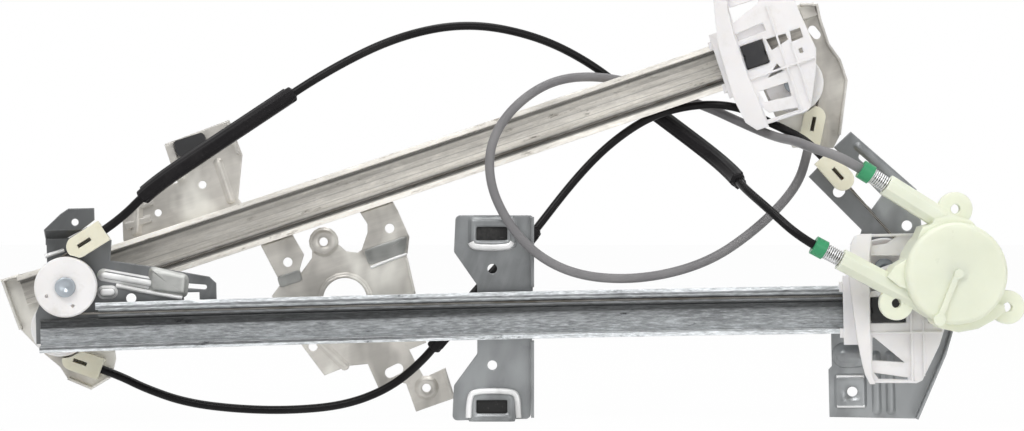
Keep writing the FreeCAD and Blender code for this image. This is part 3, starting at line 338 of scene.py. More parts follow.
def rubber(name, base, dust=(0.20, 0.19, 0.18), rough=0.7):
    """Matt rubber with pale dust in patches and a rough skin."""
    s = Shader(name, Specular_IOR_Level=0.14)
    cloud = s.noise(s.place((45, 45, 45)), 6, 0.7)
    speck = s.noise(s.place((520, 520, 520)), 3, 0.6)
    tone = s.mix(s.range(cloud, "Fac", 0, 0.30, 0.50, 0.72), "Result", base, dust)
    tone = s.mix(s.range(speck, "Fac", 0, 0.25, 0.6, 0.75), "Result", tone, dust)
    s.join(tone, "Color", s.bsdf, "Base Color")
    s.join(s.range(cloud, "Fac", rough - 0.12, rough + 0.15), "Result", s.bsdf, "Roughness")
    s.join(s.bump(speck, "Fac", 0.12, 0.0002), "Normal", s.bsdf, "Normal")
    return s.mat


def conduit_skin(name, base, scuffed):
    """Extruded conduit skin: even, with soft scuffs and a satin sheen."""
    s = Shader(name, Specular_IOR_Level=0.16)
    scuff = s.noise(s.place((22, 22, 22)), 3, 0.5)
    fine = s.noise(s.place((110, 110, 110)), 2, 0.5)
    tone = s.mix(s.range(scuff, "Fac", 0, 0.8, 0.48, 0.66), "Result", base, scuffed)
    tone = s.mix(s.range(fine, "Fac", 0, 0.2, 0.58, 0.72), "Result", tone, scuffed)
    s.join(tone, "Color", s.bsdf, "Base Color")
    s.join(s.range(scuff, "Fac", 0.30, 0.42), "Result", s.bsdf, "Roughness")
    s.join(s.bump(fine, "Fac", 0.03, 0.0001), "Normal", s.bsdf, "Normal")
    return s.mat


def wire_rope(name, tilt):
    """Greased steel rope: slanting strands over a dark base."""
    s = Shader(name, Metallic=0.8)
    wave = s.add("ShaderNodeTexWave")
    wave.inputs["Scale"].default_value = 1.0
    wave.inputs["Distortion"].default_value = 0.6
    s.join(s.place((420, 260, 420), tilt + 35), "Vector", wave, "Vector")
    grease = s.noise(s.place((60, 60, 60), tilt), 4, 0.6)
    tone = s.ramp(wave, "Fac", [(0.2, (0.05, 0.045, 0.04)), (0.8, (0.42, 0.40, 0.37))])
    tone = s.mix(s.range(grease, "Fac", 0, 0.7, 0.45, 0.65), "Result", tone,
                 (0.09, 0.075, 0.05))
    s.join(tone, "Color", s.bsdf, "Base Color")
    s.join(s.range(grease, "Fac", 0.28, 0.5), "Result", s.bsdf, "Roughness")
    s.join(s.bump(wave, "Fac", 0.5, 0.0005), "Normal", s.bsdf, "Normal")
    return s.mat


def bright_steel(name, base=(0.78, 0.78, 0.79)):
    """Drawn spring wire, bright with faint drawing lines."""
    s = Shader(name, Metallic=1.0)
    lines = s.noise(s.place((300, 300, 300)), 4, 0.6)
    drift = s.noise(s.place((40, 40, 40)), 4, 0.6)
    tone = s.mix(s.range(drift, "Fac", 0, 0.5, 0.4, 0.7), "Result", base,
                 times(base, 0.6))
    s.join(tone, "Color", s.bsdf, "Base Color")
    s.join(s.range(lines, "Fac", 0.18, 0.42), "Result", s.bsdf, "Roughness")
    s.join(s.bump(lines, "Fac", 0.15, 0.0002), "Normal", s.bsdf, "Normal")
    return s.mat


MATERIALS = {
    # Stripe stops of the rails, as factors on the zinc: those above 1 are painted highlight on
    # the lips, the lowest are painted shade with some grease in the channels
    "rail_zinc": rail_zinc(
        "rail_zinc", RAIL_A, (0.36, 0.375, 0.385),
        ([(-14.2, 2.2), (-12.6, 2.0), (-12.2, 0.5), (-11.0, 0.6), (-10.6, 1.2), (-2.5, 1.05),
          (-1.0, 0.8), (-0.4, 0.20), (5.6, 0.15), (5.9, 0.8), (7.2, 0.75), (7.6, 0.25),
          (8.4, 0.35), (8.9, 1.9), (10.2, 1.9), (10.6, 0.8), (11.8, 0.7), (12.2, 2.0),
          (14.2, 2.3)],
         [(-14.2, 2.2), (-11.6, 2.0), (-11.2, 0.8), (-10.4, 1.4), (-3.5, 1.15), (0.5, 0.7),
          (1.5, 0.30), (5.6, 0.22), (5.9, 0.9), (7.2, 0.9), (7.6, 0.28), (8.6, 0.45),
          (9.0, 1.6), (10.2, 1.8), (10.6, 0.8), (11.6, 0.7), (12.0, 2.0), (14.2, 2.3)],
         -70, 40),
        (0.05, 0.055, 0.06), 0.85, 0.45, 0.6),
    "rail_light_zinc": rail_zinc(
        "rail_light_zinc", RAIL_B, (0.72, 0.69, 0.635),
        ([(-14.2, 1.3), (-11.0, 1.3), (-10.4, 0.4), (-7.0, 0.16), (-6.2, 0.6), (-4.0, 0.85),
          (-0.9, 0.9), (-0.5, 0.6), (0.0, 0.92), (4.0, 0.95), (6.8, 0.75), (8.6, 0.9),
          (9.6, 0.30), (10.8, 0.40), (11.4, 1.3), (14.2, 1.35)],
         [(-14.2, 1.35), (-11.0, 1.3), (-10.4, 0.4), (-7.0, 0.20), (-6.2, 0.8), (-4.0, 1.1),
          (-2.4, 1.15), (-2.0, 0.7), (-1.6, 1.15), (1.8, 1.15), (2.1, 0.7), (2.5, 1.1),
          (4.0, 1.2), (5.4, 1.15), (5.7, 0.8), (8.6, 1.1), (9.6, 0.26), (10.8, 0.40),
          (11.4, 1.3), (14.2, 1.35)],
         -180, -60),
        (0.20, 0.17, 0.13), 0.75, 0.25, 0.18),
    # The dark bracket zinc is darkened towards the left by a painted shade
    "bracket_dark": bracket_zinc("bracket_dark", (0.27, 0.28, 0.285), 70, 0.65,
                                 (0.70, 0.71, 0.72), 0.30, 0.0020, (0.42, 1.05)),
    # A grey copy of the bracket zinc for painted light and shade: lighter than the dark brackets,
    # darker than the pale motor plate
    "painted_light_shade_grey": bracket_zinc("painted_light_shade_grey", (0.40, 0.405, 0.39), 10, 0.5,
                               (0.75, 0.75, 0.73), 0.4, 0.0016, (1.0, 1.0)),
    # A near-white copy of the bracket zinc, for painted highlights on pressings and beads
    "painted_highlight_zinc": bracket_zinc("painted_highlight_zinc", (0.86, 0.86, 0.85), 10, 0.35,
                                 (0.95, 0.95, 0.94), 0.5, 0.0008, (1.0, 1.0)),
    "bracket_light": bracket_zinc("bracket_light", (0.64, 0.615, 0.57), 18.4, 0.5,
                                  (0.90, 0.89, 0.87), 0.3, 0.0016, (1.0, 1.0)),
    "buffer_rubber": rubber("buffer_rubber", (0.03, 0.03, 0.03)),
    "clip_plastic": plastic("clip_plastic", (0.03, 0.03, 0.032), (0.02, 0.02, 0.02), 0.5,
                            grime=0.2, grime_colour=(0.15, 0.14, 0.13)),
    "carrier_plastic": plastic("carrier_plastic", (0.89, 0.87, 0.87), (0.83, 0.81, 0.81), 0.4,
                               0.35, 0.005, 0.22, (0.52, 0.48, 0.42)),
    "block_plastic": plastic("block_plastic", (0.028, 0.028, 0.03), (0.018, 0.018, 0.02), 0.45,
                             grime=0.25, grime_colour=(0.12, 0.11, 0.10)),
    "cable_steel": wire_rope("cable_steel", 10),
    "housing_plastic": plastic("housing_plastic", (0.84, 0.87, 0.70), (0.77, 0.80, 0.64), 0.34,
                               0.4, 0.008, 0.10, (0.60, 0.60, 0.42)),
    "drum_plastic": plastic("drum_plastic", (0.72, 0.72, 0.68), (0.62, 0.62, 0.58), 0.45),
    "cap_plastic": plastic("cap_plastic", (0.05, 0.36, 0.16), (0.035, 0.28, 0.12), 0.35,
                           grime=0.12),
    "spring_steel": bright_steel("spring_steel"),
    "conduit_black": conduit_skin("conduit_black", (0.006, 0.0055, 0.006), (0.018, 0.017, 0.017)),
    "conduit_grey": conduit_skin("conduit_grey", (0.205, 0.20, 0.205), (0.27, 0.265, 0.265)),
    "sleeve_rubber": rubber("sleeve_rubber", (0.010, 0.009, 0.010), (0.045, 0.042, 0.042), 0.42),
    "rivet_steel": bracket_zinc("rivet_steel", (0.33, 0.36, 0.39), 0, 0.8, (0.7, 0.72, 0.74),
                                0.2, 0.0008, (1.0, 1.0)),
    "pulley_plastic": plastic("pulley_plastic", (0.90, 0.885, 0.88), (0.84, 0.82, 0.81), 0.42,
                              0.25, 0.004, 0.3, (0.45, 0.40, 0.32)),
    "holder_plastic": plastic("holder_plastic", (0.84, 0.81, 0.66), (0.76, 0.73, 0.58), 0.32,
                              0.35, 0.004, 0.25, (0.45, 0.40, 0.28)),
}
for part in frame["record"]["subparts"]:
    node = bpy.data.objects[part["node"]]
    node.data.materials.clear()
    node.data.materials.append(MATERIALS[part["material_slot"]])


# Making of pieces

def finish_piece(obj, body, slot):
    """Give a piece its finish and its body."""
    obj.data.materials.append(MATERIALS[slot])
    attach(obj, body)
    return obj


def mesh_piece(name, bm, body, slot):
    """Smooth piece from a bmesh, which is freed."""
    mesh = bpy.data.meshes.new(name)
    bmesh.ops.recalc_face_normals(bm, faces=bm.faces)
    bm.to_mesh(mesh)
    bm.free()
    for face in mesh.polygons:
        face.use_smooth = True
    obj = bpy.data.objects.new(name, mesh)
    bpy.context.scene.collection.objects.link(obj)
    return finish_piece(obj, body, slot)


# Conduits: smooth curves on the CAD routes, in metres

ROUTES = {
    "lower_inlet_conduit": [
        (-0.2307, -0.0299, 0.0490), (-0.2175, -0.0273, 0.0577), (-0.199, -0.028, 0.0765),
        (-0.170, -0.026, 0.0965), (-0.138, -0.021, 0.1185), (-0.097, -0.013, 0.147),
        (-0.056, -0.006, 0.168), (-0.015, 0.004, 0.177), (0.026, 0.019, 0.171),
        (0.060, 0.034, 0.156), (0.091, 0.038, 0.132), (0.119, 0.029, 0.110),
        (0.136, 0.014, 0.095), (0.144, -0.008, 0.0845), (0.147, -0.028, 0.077),
        (0.158, -0.050, 0.0645), (0.1734, -0.0635, 0.0485), (0.1857, -0.0635, 0.0420)],
    "cross_conduit": [
        (-0.2423, 0.0085, -0.0302), (-0.2274, 0.0106, -0.0357), (-0.210, 0.009, -0.044),
        (-0.185, 0.005, -0.052), (-0.155, 0.006, -0.056), (-0.122, 0.007, -0.057),
        (-0.089, 0.008, -0.054), (-0.063, 0.008, -0.044), (-0.044, 0.008, -0.029),
        (-0.028, 0.008, -0.010), (-0.009, 0.009, 0.012), (0.008, 0.012, 0.031),
        (0.022, 0.0155, 0.0465), (0.051, 0.024, 0.084), (0.074, 0.024, 0.107),
        (0.099, 0.020, 0.123), (0.126, 0.016, 0.129), (0.150, 0.010, 0.1268),
        (0.1657, 0.0054, 0.1175), (0.1751, -0.007, 0.1118), (0.1874, -0.0229, 0.1027),
        (0.1977, -0.0247, 0.0905)],
    "upper_inlet_conduit": [
        (0.2120, -0.0635, 0.0844), (0.1967, -0.0635, 0.0939), (0.182, -0.055, 0.099),
        (0.176, -0.035, 0.104), (0.1709, -0.013, 0.1065), (0.1647, 0.005, 0.1104),
        (0.1516, 0.018, 0.1176), (0.131, 0.025, 0.128), (0.100, 0.029, 0.139),
        (0.068, 0.0285, 0.147), (0.038, 0.013, 0.144), (0.014, -0.001, 0.128),
        (-0.001, -0.006, 0.106), (-0.002, -0.009, 0.081), (0.008, -0.011, 0.058),
        (0.025, -0.012, 0.038), (0.048, -0.012, 0.026), (0.076, -0.012, 0.0226),
        (0.105, -0.013, 0.026), (0.131, -0.014, 0.035), (0.153, -0.013, 0.050),
        (0.171, -0.009, 0.066), (0.183, -0.001, 0.080), (0.1887, 0.0044, 0.0931),
        (0.1916, 0.0029, 0.1087)],
}
# Radius, length along the route and finish of each conduit
CONDUITS = {"lower_inlet_conduit": (0.0025, 0.5560, "conduit_black"),
            "cross_conduit": (0.0025, 0.5453, "conduit_black"),
            "upper_inlet_conduit": (0.0028, 0.5862, "conduit_grey")}


def nurbs(name, points, radius):
    """Open NURBS curve with the route's points as its control points."""
    curve = bpy.data.curves.new(name, "CURVE")
    curve.dimensions = "3D"
    spline = curve.splines.new("NURBS")
    spline.points.add(len(points) - 1)
    for point, place in zip(spline.points, points):
        point.co = (*place, 1.0)
    spline.order_u = 3
    spline.use_endpoint_u = True
    spline.resolution_u = 12
    curve.bevel_depth = radius
    curve.bevel_resolution = 6
    curve.use_fill_caps = True
    return curve


def line_of(points):
    """Points along the route's own spline, with no thickness."""
    curve = nurbs("line", points, 0.0)
    curve.use_fill_caps = False
    obj = bpy.data.objects.new("line", curve)
    mesh = bpy.data.meshes.new_from_object(obj)
    line = [vertex.co.copy() for vertex in mesh.vertices]
    bpy.data.objects.remove(obj)
    bpy.data.curves.remove(curve)
    bpy.data.meshes.remove(mesh)
    return line


for node, (radius, length, slot) in CONDUITS.items():
    points = ROUTES[node]
    obj = bpy.data.objects.new(node + "_tube", nurbs(node, points, radius))
    bpy.context.scene.collection.objects.link(obj)
    finish_piece(obj, ROOT, slot)
    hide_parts(node)


def tube_along(line, outline, sides=40):
    """Closed tube round a line; outline(index, turn) gives its radius at each place."""
    bm = bmesh.new()
    rings = []
    side = Vector((0, 0, 1))
    for i, centre in enumerate(line):
        ahead = line[min(i + 1, len(line) - 1)] - line[max(i - 1, 0)]
        ahead.normalize()
        side = (side - ahead * side.dot(ahead)).normalized()
        up = ahead.cross(side)
        ring = []
        for k in range(sides):
            turn = 2 * math.pi * k / sides
            radius = outline(i, turn)
            ring.append(bm.verts.new(centre + (side * math.cos(turn) + up * math.sin(turn))
                                     * radius))
        rings.append(ring)
    for first, second in zip(rings, rings[1:]):
        for k in range(sides):
            bm.faces.new((first[k], first[(k + 1) % sides], second[(k + 1) % sides], second[k]))
    bm.faces.new(rings[0])
    bm.faces.new(rings[-1][::-1])
    return bm


def resampled(line, start, end, step):
    """Evenly spaced points between two distances along a line."""
    lengths = [0.0]
    for a, b in zip(line, line[1:]):
        lengths.append(lengths[-1] + (b - a).length)
    count = max(2, round((end - start) / step))
    points = []
    index = 0
    for i in range(count + 1):
        distance = start + (end - start) * i / count
        while index < len(line) - 2 and lengths[index + 1] < distance:
            index += 1
        share = (distance - lengths[index]) / (lengths[index + 1] - lengths[index])
        points.append(line[index].lerp(line[index + 1], share))
    return points


def nearest(line, place):
    """Distance along a line of its point nearest to a place."""
    best, found, walked = math.inf, 0.0, 0.0
    for a, b in zip(line, line[1:]):
        gap = (a - Vector(place)).length
        if gap < best:
            best, found = gap, walked
        walked += (b - a).length
    return found


# Sleeves, in metres and radians
SLEEVE_RADIUS, SLEEVE_BORE, SLEEVE_STEP = 0.0047, 0.0029, 0.0008
RIDGES, RIDGE_HEIGHT = 5, 0.00075
SPLIT_DEPTH, SPLIT_TURN, SPLIT_WIDTH = 0.0009, 2.4, 0.07
NOTCH_DEPTH, NOTCH_LENGTH, NOTCH_TURN, NOTCH_EDGE = 0.0011, 0.0036, 0.6, 0.55
ROLL_DEPTH, ROLL_LENGTH = 0.0006, 0.0016


def sleeve(name, route, start, end):
    """Split rubber sleeve over a conduit, with lengthwise ridges and notched ends."""
    line = line_of(ROUTES[route])
    first, last = nearest(line, start), nearest(line, end)
    points = resampled(line, first, last, SLEEVE_STEP)
    count = len(points)

    def outline(i, turn):
        if i in (0, count - 1):
            return SLEEVE_BORE
        from_end = min(i, count - 1 - i) * (last - first) / (count - 1)
        radius = SLEEVE_RADIUS + RIDGE_HEIGHT * max(0.0, math.cos(RIDGES * turn)) ** 4
        if abs(math.sin((turn - SPLIT_TURN) / 2)) < SPLIT_WIDTH:
            radius -= SPLIT_DEPTH
        if from_end < NOTCH_LENGTH and math.cos(2 * turn + NOTCH_TURN) > NOTCH_EDGE:
            radius -= NOTCH_DEPTH
        return radius - ROLL_DEPTH * max(0.0, 1 - from_end / ROLL_LENGTH)

    piece = mesh_piece(name + "_rubber", tube_along(points, outline), ROOT, "sleeve_rubber")
    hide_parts(name)


sleeve("long_sleeve", "lower_inlet_conduit", (-0.2045, -0.0279, 0.0715),
       (-0.1175, -0.017, 0.1327))
sleeve("rear_sleeve", "lower_inlet_conduit", (0.0980, 0.036, 0.1265), (0.1465, -0.0185, 0.080))
sleeve("bracket_sleeve", "cross_conduit", (-0.0360, 0.008, -0.0195), (0.0276, 0.0171, 0.0537))


# Tension springs between the housing's inlets and the caps

DRUM_CENTRE = Vector((259, -63.5, 28.5))
INLET_OFFSET = 22.5
CLOSED_SHARE = 0.06  # of the spring's wire, in the flat end at each side


def spring(node, angle, side, start):
    """Close-wound spring on an inlet's axis, from the inlet's mouth to the cap."""
    turn = math.radians(angle)
    outward = Vector((math.cos(turn), 0, math.sin(turn)))
    normal = Vector((math.sin(turn), 0, -math.cos(turn))) * side
    foot = (DRUM_CENTRE + normal * INLET_OFFSET) * MM
    up = Vector((0, 1, 0))
    across = outward.cross(up)
    length, radius, wire, turns = 0.0100, 0.0041, 0.00040, 8
    steps, sides = 28, 10
    line = []
    for i in range(turns * steps + 1):
        share = i / (turns * steps)
        lead = min(1.0, max(0.0, (share - CLOSED_SHARE) / (1 - 2 * CLOSED_SHARE)))
        spin = 2 * math.pi * turns * share
        place = foot + outward * (start + wire + (length - 2 * wire) * lead)
        line.append(place + (across * math.cos(spin) + up * math.sin(spin)) * radius)
    piece = mesh_piece(node + "_coil", tube_along(line, lambda i, turn: wire, sides), ROOT,
                       "spring_steel")
    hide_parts(node)


spring("upper_spring", 148, 1, 0.0575)
spring("lower_spring", 152, -1, 0.0590)


# Rounded pressings on the sheet brackets, over the plain pads of the CAD

class Flat:
    """Frame of the middle bracket, which is flat and stands at the world's origin."""

    def matrix(self, along, _mirror=False):
        return Matrix.Scale(MM, 4) @ Matrix.Translation((along, 0, 0))


CORNER_STEPS = 6
CORNER_SHARE = 0.45  # of a side at most, for each of its two corners


def rounded_outline(points, radius):
    """Closed outline with its corners rounded off."""
    rounded = []
    for i, point in enumerate(points):
        corner = Vector(point)
        sides = [Vector(points[i - 1]) - corner, Vector(points[(i + 1) % len(points)]) - corner]
        start, end = [corner + side.normalized() * min(radius, CORNER_SHARE * side.length)
                      for side in sides]
        for k in range(CORNER_STEPS + 1):
            t = k / CORNER_STEPS
            spot = start * (1 - t) ** 2 + corner * 2 * t * (1 - t) + end * t * t
            rounded.append((spot.x, spot.y))
    return rounded


def divided(points, step=1.5):
    """Closed outline with points no further apart than a step."""
    finer = []
    for i, point in enumerate(points):
        here, there = Vector(point), Vector(points[(i + 1) % len(points)])
        count = max(1, math.ceil((there - here).length / step))
        for k in range(count):
            spot = here.lerp(there, k / count)
            finer.append((spot.x, spot.y))
    return finer


def shrunk(points, share):
    """Outline scaled about its middle to a share of its size."""
    cx = sum(x for x, z in points) / len(points)
    cz = sum(z for x, z in points) / len(points)
    return [(cx + (x - cx) * share, cz + (z - cz) * share) for x, z in points]


def inset(points, distance):
    """Outline moved inwards along its own normals."""
    area = sum(a[0] * b[1] - b[0] * a[1] for a, b in zip(points, points[1:] + points[:1]))
    sign = 1 if area > 0 else -1
    moved = []
    for i, (x, z) in enumerate(points):
        a, b = points[i - 1], points[(i + 1) % len(points)]
        dx, dz = b[0] - a[0], b[1] - a[1]
        size = math.hypot(dx, dz) or 1.0
        moved.append((x - dz / size * distance * sign, z + dx / size * distance * sign))
    return moved


def hole_outline(points, hole):
    """Point on a hole's edge for each outline point.

    A hole is its middle and half its width and height; a round one has no height.
    """
    cx, cz, half_width, half_height = hole
    edge = []
    for x, z in points:
        turn = math.atan2(z - cz, x - cx)
        reach = half_width
        if half_height:
            reach = min(half_width / max(1e-6, abs(math.cos(turn))),
                        half_height / max(1e-6, abs(math.sin(turn))))
        edge.append((cx + reach * math.cos(turn), cz + reach * math.sin(turn)))
    return edge


# Shares of a pressing's slope and of its rise, from its foot to its top
ROLLED_EDGE = ((0, 0), (0.2, 0.08), (0.4, 0.28), (0.6, 0.6), (0.8, 0.88), (1, 1))
TOP_RINGS = (0.7, 0.4, 0.1)  # sizes of the rings that close a flat top
CORNERED = 12  # an outline with fewer points than this has corners to round off
CORNER_EXTRA = 1.2  # radius of those corners beyond the slope's width
SUNK, HOLE_DEPTH = 0.3, 1.2  # below the base level


def pressing(name, frame, along, points, rise, slope, slot, base=0.0, hole=None, lean=0.0,
             mirror=True):
    """Raised area with rolled edges that follows the bow of its bracket.

    Its foot is at the base level where across is zero, and rises by lean per millimetre.
    """
    if len(points) < CORNERED:
        points = rounded_outline(points, slope + CORNER_EXTRA)
    outline = divided(points)
    rings = [(outline, base - SUNK)]
    for share, height in ROLLED_EDGE:
        rings.append((inset(outline, share * slope), base + height * rise))
    if hole:
        edge = hole_outline(outline, hole)
        rings += [(edge, base + rise), (edge, base - HOLE_DEPTH)]
    else:
        rings += [(shrunk(rings[-1][0], share), base + rise) for share in TOP_RINGS]
    bm = bmesh.new()
    rows = []
    for ring, level in rings:
        row = []
        for x, z in ring:
            place = Vector((0, -level - lean * z, z))
            row.append(bm.verts.new(frame.matrix(along + x, mirror) @ place))
        rows.append(row)
    count = len(outline)
    for first, second in zip(rows, rows[1:]):
        for k in range(count):
            bm.faces.new((first[k], first[(k + 1) % count], second[(k + 1) % count],
                          second[k]))
    if not hole:
        bm.faces.new(rows[-1])
    mesh_piece(name, bm, ROOT, slot)


def bar_outline(along, across, length, width, angle, sides=24):
    """Bar with round ends, turned by an angle."""
    turn = math.radians(angle)
    points = []
    for k in range(sides):
        spin = 2 * math.pi * (k + 0.5) / sides
        x = math.cos(spin) * width / 2 + math.copysign((length - width) / 2, math.cos(spin))
        z = math.sin(spin) * width / 2
        points.append((along + x * math.cos(turn) - z * math.sin(turn),
                       across + x * math.sin(turn) + z * math.cos(turn)))
    return points


def ring_outline(along, across, radius, sides=16):
    """Round outline."""
    turns = [2 * math.pi * k / sides for k in range(sides)]
    return [(along + radius * math.cos(turn), across + radius * math.sin(turn))
            for turn in turns]


def rounded_path(points):
    """Open line with its corners cut three times over."""
    for _ in range(3):
        cut = [points[0]]
        for a, b in zip(points, points[1:]):
            cut.append((0.75 * a[0] + 0.25 * b[0], 0.75 * a[1] + 0.25 * b[1]))
            cut.append((0.25 * a[0] + 0.75 * b[0], 0.25 * a[1] + 0.75 * b[1]))
        points = cut + [points[-1]]
    return points


def bead(name, frame, along, points, radius, slot, level=0.0, sides=14):
    """Rolled edge: a half-sunk round bar along a line on a bracket."""
    line = [frame.matrix(along + x, True) @ Vector((0, -level, z))
            for x, z in rounded_path(points)]
    mesh_piece(name, tube_along(line, lambda i, turn: radius * MM, sides), ROOT, slot)


FLAT = Flat()

# Left bracket of rail A
# The rib, the oval and the bead of the step carry a painted highlight, the step a painted lighter
# grey
pressing("press_rib", RAIL_A, LEFT_A, bar_outline(34, 27, 34, 7.4, -12), 2.4, 3.2,
         "painted_highlight_zinc")
pressing("press_step", RAIL_A, LEFT_A, [(46, 18.5), (69, 14.5), (70.5, 28.5), (47, 34.5)], 2.8,
         3.0, "painted_light_shade_grey")
bead("bead_step", RAIL_A, LEFT_A, [(28, 23.4), (47, 18.6), (66, 14.8)], 1.4,
     "painted_highlight_zinc", 0.4)
pressing("press_oval", RAIL_A, LEFT_A, bar_outline(23, 19.5, 12, 8, 0), 2.2, 2.8,
         "painted_highlight_zinc")

# Right bracket of rail A
pressing("press_pad", RAIL_A, RIGHT_A, [(-30, -59), (-11, -59), (-11, -38.5), (-30, -38.5)],
         2.2, 2.0, "bracket_dark", hole=(-19.5, -49, 3.05, 0))
# Beads along the pad in a painted highlight
for name, z in (("bead_pad_top", -40.2), ("bead_pad_bottom", -57.4)):
    bead(name, RAIL_A, RIGHT_A, [(-28.5, z), (-12.5, z)], 1.1, "painted_highlight_zinc", 1.0)
pressing("press_bulge", RAIL_A, RIGHT_A, bar_outline(-20, -27.5, 22, 15, 0), 3.4, 6.0,
         "bracket_dark")
for name, x in (("press_fold_left", -5.5), ("press_fold_right", 2.5)):
    pressing(name, RAIL_A, RIGHT_A, bar_outline(x, -44, 38, 5.6, 90), 1.8, 2.2, "bracket_dark")
pressing("press_arm", RAIL_A, RIGHT_A, bar_outline(-1, 84, 38, 5.6, -43), 1.8, 2.2,
         "bracket_dark")

# Motor plate
pressing("press_boss", RAIL_B, PLATE, ring_outline(-8.4, 24, 9.2), 3.3, 2.6, "bracket_light",
         hole=(-8.4, 24, 2.75, 0))
pressing("press_collar", RAIL_B, PLATE, ring_outline(-7.3, 62.3, 17.4), 1.2, 2.6,
         "bracket_light", hole=(-7.3, 62.3, 13.65, 0))
pressing("press_lug", RAIL_B, PLATE, ring_outline(23.4, 130, 7.6), 2.0, 2.2, "bracket_light",
         hole=(23.4, 130, 2.75, 0))
pressing("press_ridge", RAIL_B, PLATE, bar_outline(-25, 92, 26, 6, 62), 1.8, 2.4,
         "bracket_light")

# Pockets of the middle bracket
for name, z, side in (("top", 50, 1), ("bottom", -53.5, -1)):
    far, near = z + side * 10.4, z - side * 10.4
    pressing("press_pocket_" + name, FLAT, 0,
             [(-14.5, far), (-14.5, near + side * 3), (-10, near), (9, near),
              (14, near + side * 3), (14, far)], 2.6, 2.6, "bracket_dark", 1.5,
             (-0.25, z, 9.3, 4.0))

# Ears of the motor plate, and the tab of the left bracket of rail A
# The ears are in a painted shade, darker than the plate; the beads on an ear and on the tab carry
# a painted highlight
pressing("press_ear_right", RAIL_B, PLATE, [(13.5, 36.6), (13.5, 46.6), (37, 46.6), (42, 36.6)],
         0.35, 1.0, "painted_light_shade_grey", 19.0, lean=-0.4)
pressing("press_ear_left", RAIL_B, PLATE,
         [(-42.4, 35.6), (-42.8, 42.6), (-28.2, 42.6), (-27.6, 35.6)], 0.35, 1.0,
         "painted_light_shade_grey", 23.8, lean=-0.55)
bead("bead_ear_right", RAIL_B, PLATE, [(14, 48.4), (24, 47.6), (38, 47.4)], 1.0,
     "painted_highlight_zinc", 0.2)
bead("bead_tab", RAIL_A, LEFT_A, [(-12, 41.5), (-1, 44.8)], 1.3, "painted_highlight_zinc", 0.3)

# Upper bracket of rail B
pressing("press_shelf_left", RAIL_B, SHELF, bar_outline(-44, 26, 24, 7, 70), 2.2, 3.0,
         "bracket_light", mirror=False)
pressing("press_shelf_right", RAIL_B, SHELF, bar_outline(13.5, 31, 30, 6, 90), 2.0, 2.6,
         "bracket_light", mirror=False)

# Folds round the pockets of the middle bracket, in a painted highlight
bead("bead_pocket_top", FLAT, 0, [(-12.5, 45), (-11, 42), (10, 42), (12, 45)], 2.4,
     "painted_highlight_zinc", 2.2)
bead("bead_pocket_bottom", FLAT, 0,
     [(-14.2, -60), (-13.6, -47.5), (-10.5, -44), (12, -44), (15.2, -47.5), (15.8, -60)], 1.8,
     "painted_highlight_zinc", 4.2)


# Studio

def camera():
    """Camera a metre in front, with a lens that gives 0.6 mm a pixel at the middle bracket."""
    data = bpy.data.cameras.new("camera")
    data.sensor_width = 36.0
    data.lens = 58.594
    obj = bpy.data.objects.new("camera", data)
    obj.location = (0.0118, -1.0, 0.0608)
    obj.rotation_euler = (math.radians(90), 0, 0)
    bpy.context.scene.collection.objects.link(obj)
    bpy.context.scene.camera = obj


def seen_directly(nodes):
    """Node whose value is 1 for camera, glossy and transmission rays."""
    path = nodes.add("ShaderNodeLightPath")
    seen, output = path, "Is Camera Ray"
    for name in ("Is Glossy Ray", "Is Transmission Ray"):
        either = nodes.add("ShaderNodeMath", operation="MAXIMUM")
        nodes.join(seen, output, either, 0)
        nodes.join(path, name, either, 1)
        seen, output = either, 0
    return seen


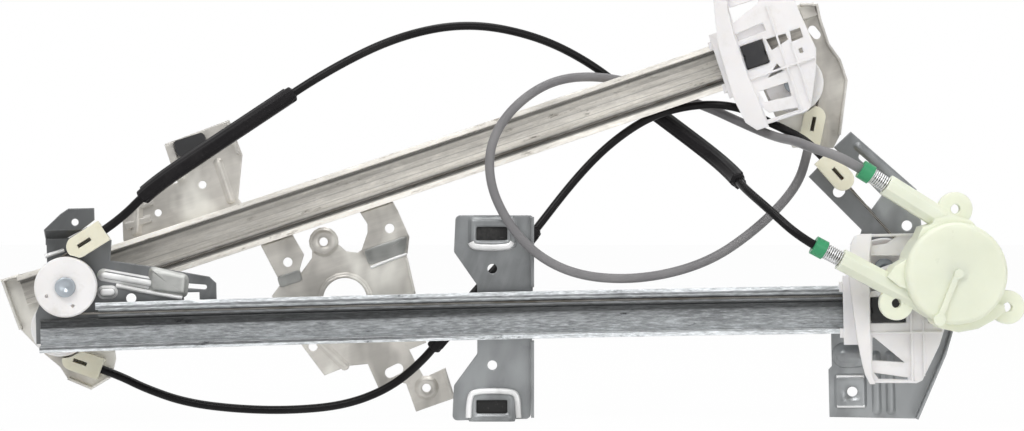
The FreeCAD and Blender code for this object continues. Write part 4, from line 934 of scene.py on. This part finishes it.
def world():
    """Even light; white to the camera, and mottled grey panels in front for metal to mirror."""
    studio = bpy.data.worlds.new("studio")
    bpy.context.scene.world = studio
    studio.use_nodes = True
    nodes = Nodes(studio.node_tree)
    light = nodes.add("ShaderNodeBackground")
    light.inputs["Strength"].default_value = 0.42
    coords = nodes.add("ShaderNodeTexCoord")
    split = nodes.add("ShaderNodeSeparateXYZ")
    nodes.join(coords, "Generated", split, 0)
    room = nodes.add("ShaderNodeTexNoise")
    room.inputs["Scale"].default_value = 5.5
    room.inputs["Detail"].default_value = 1.0
    nodes.join(coords, "Generated", room, "Vector")
    panels = nodes.range(room, "Fac", 0.12, 0.95, 0.36, 0.62)
    behind = nodes.range(split, "Y", 0, 1, -0.9, -0.1)
    nodes.join(panels, "Result", behind, "To Min")
    path = nodes.add("ShaderNodeLightPath")
    shown = nodes.add("ShaderNodeMath", operation="MAXIMUM")
    nodes.join(path, "Is Camera Ray", shown, 0)
    nodes.join(behind, "Result", shown, 1)
    white = nodes.add("ShaderNodeBackground")
    white.inputs["Color"].default_value = (1, 1, 1, 1)
    nodes.join(shown, 0, white, "Strength")
    mix = nodes.add("ShaderNodeMixShader")
    nodes.join(seen_directly(nodes), 0, mix, 0)
    nodes.join(light, 0, mix, 1)
    nodes.join(white, 0, mix, 2)
    out = nodes.add("ShaderNodeOutputWorld")
    nodes.join(mix, 0, out, "Surface")


FLOOR_GAP = 0.0006


def floor():
    """Pale floor that reads white to the camera and keeps a faint shadow."""
    bm = bmesh.new()
    level = CAD_BOX[0][2] - FLOOR_GAP
    bmesh.ops.create_grid(bm, x_segments=4, y_segments=4, size=6.0,
                          matrix=Matrix.Translation((0, 0, level)))
    mesh = bpy.data.meshes.new("floor")
    bm.to_mesh(mesh)
    bm.free()
    obj = bpy.data.objects.new("floor", mesh)
    bpy.context.scene.collection.objects.link(obj)
    s = Shader("floor", Roughness=0.9, Specular_IOR_Level=0.1)
    s.bsdf.inputs["Base Color"].default_value = (0.92, 0.92, 0.92, 1)
    glow = s.add("ShaderNodeEmission")
    mix = s.add("ShaderNodeMixShader")
    share = s.add("ShaderNodeMath", operation="MULTIPLY")
    share.inputs[1].default_value = 0.975
    s.join(seen_directly(s), 0, share, 0)
    s.join(share, 0, mix, 0)
    s.join(s.bsdf, 0, mix, 1)
    s.join(glow, 0, mix, 2)
    s.join(mix, 0, s.out, "Surface")
    obj.data.materials.append(s.mat)


def lamp(name, place, target, size, power):
    """Rectangular area light aimed at a target; size in metres, power in watts."""
    data = bpy.data.lights.new(name, "AREA")
    data.shape = "RECTANGLE"
    data.size, data.size_y = size
    data.energy = power
    obj = bpy.data.objects.new(name, data)
    obj.location = place
    obj.rotation_euler = (Vector(target) - Vector(place)).to_track_quat("-Z", "Y").to_euler()
    bpy.context.scene.collection.objects.link(obj)


camera()
world()
floor()
lamp("key", (-0.5, -1.1, 1.3), (0, 0, 0.05), (1.0, 0.8), 14.0)
lamp("top", (0.2, 0.1, 1.4), (0, 0, 0), (1.6, 0.6), 9.0)
lamp("fill", (1.0, -1.3, 0.3), (0, 0, 0.05), (0.8, 0.8), 5.0)
bpy.context.scene.view_settings.view_transform = "Standard"
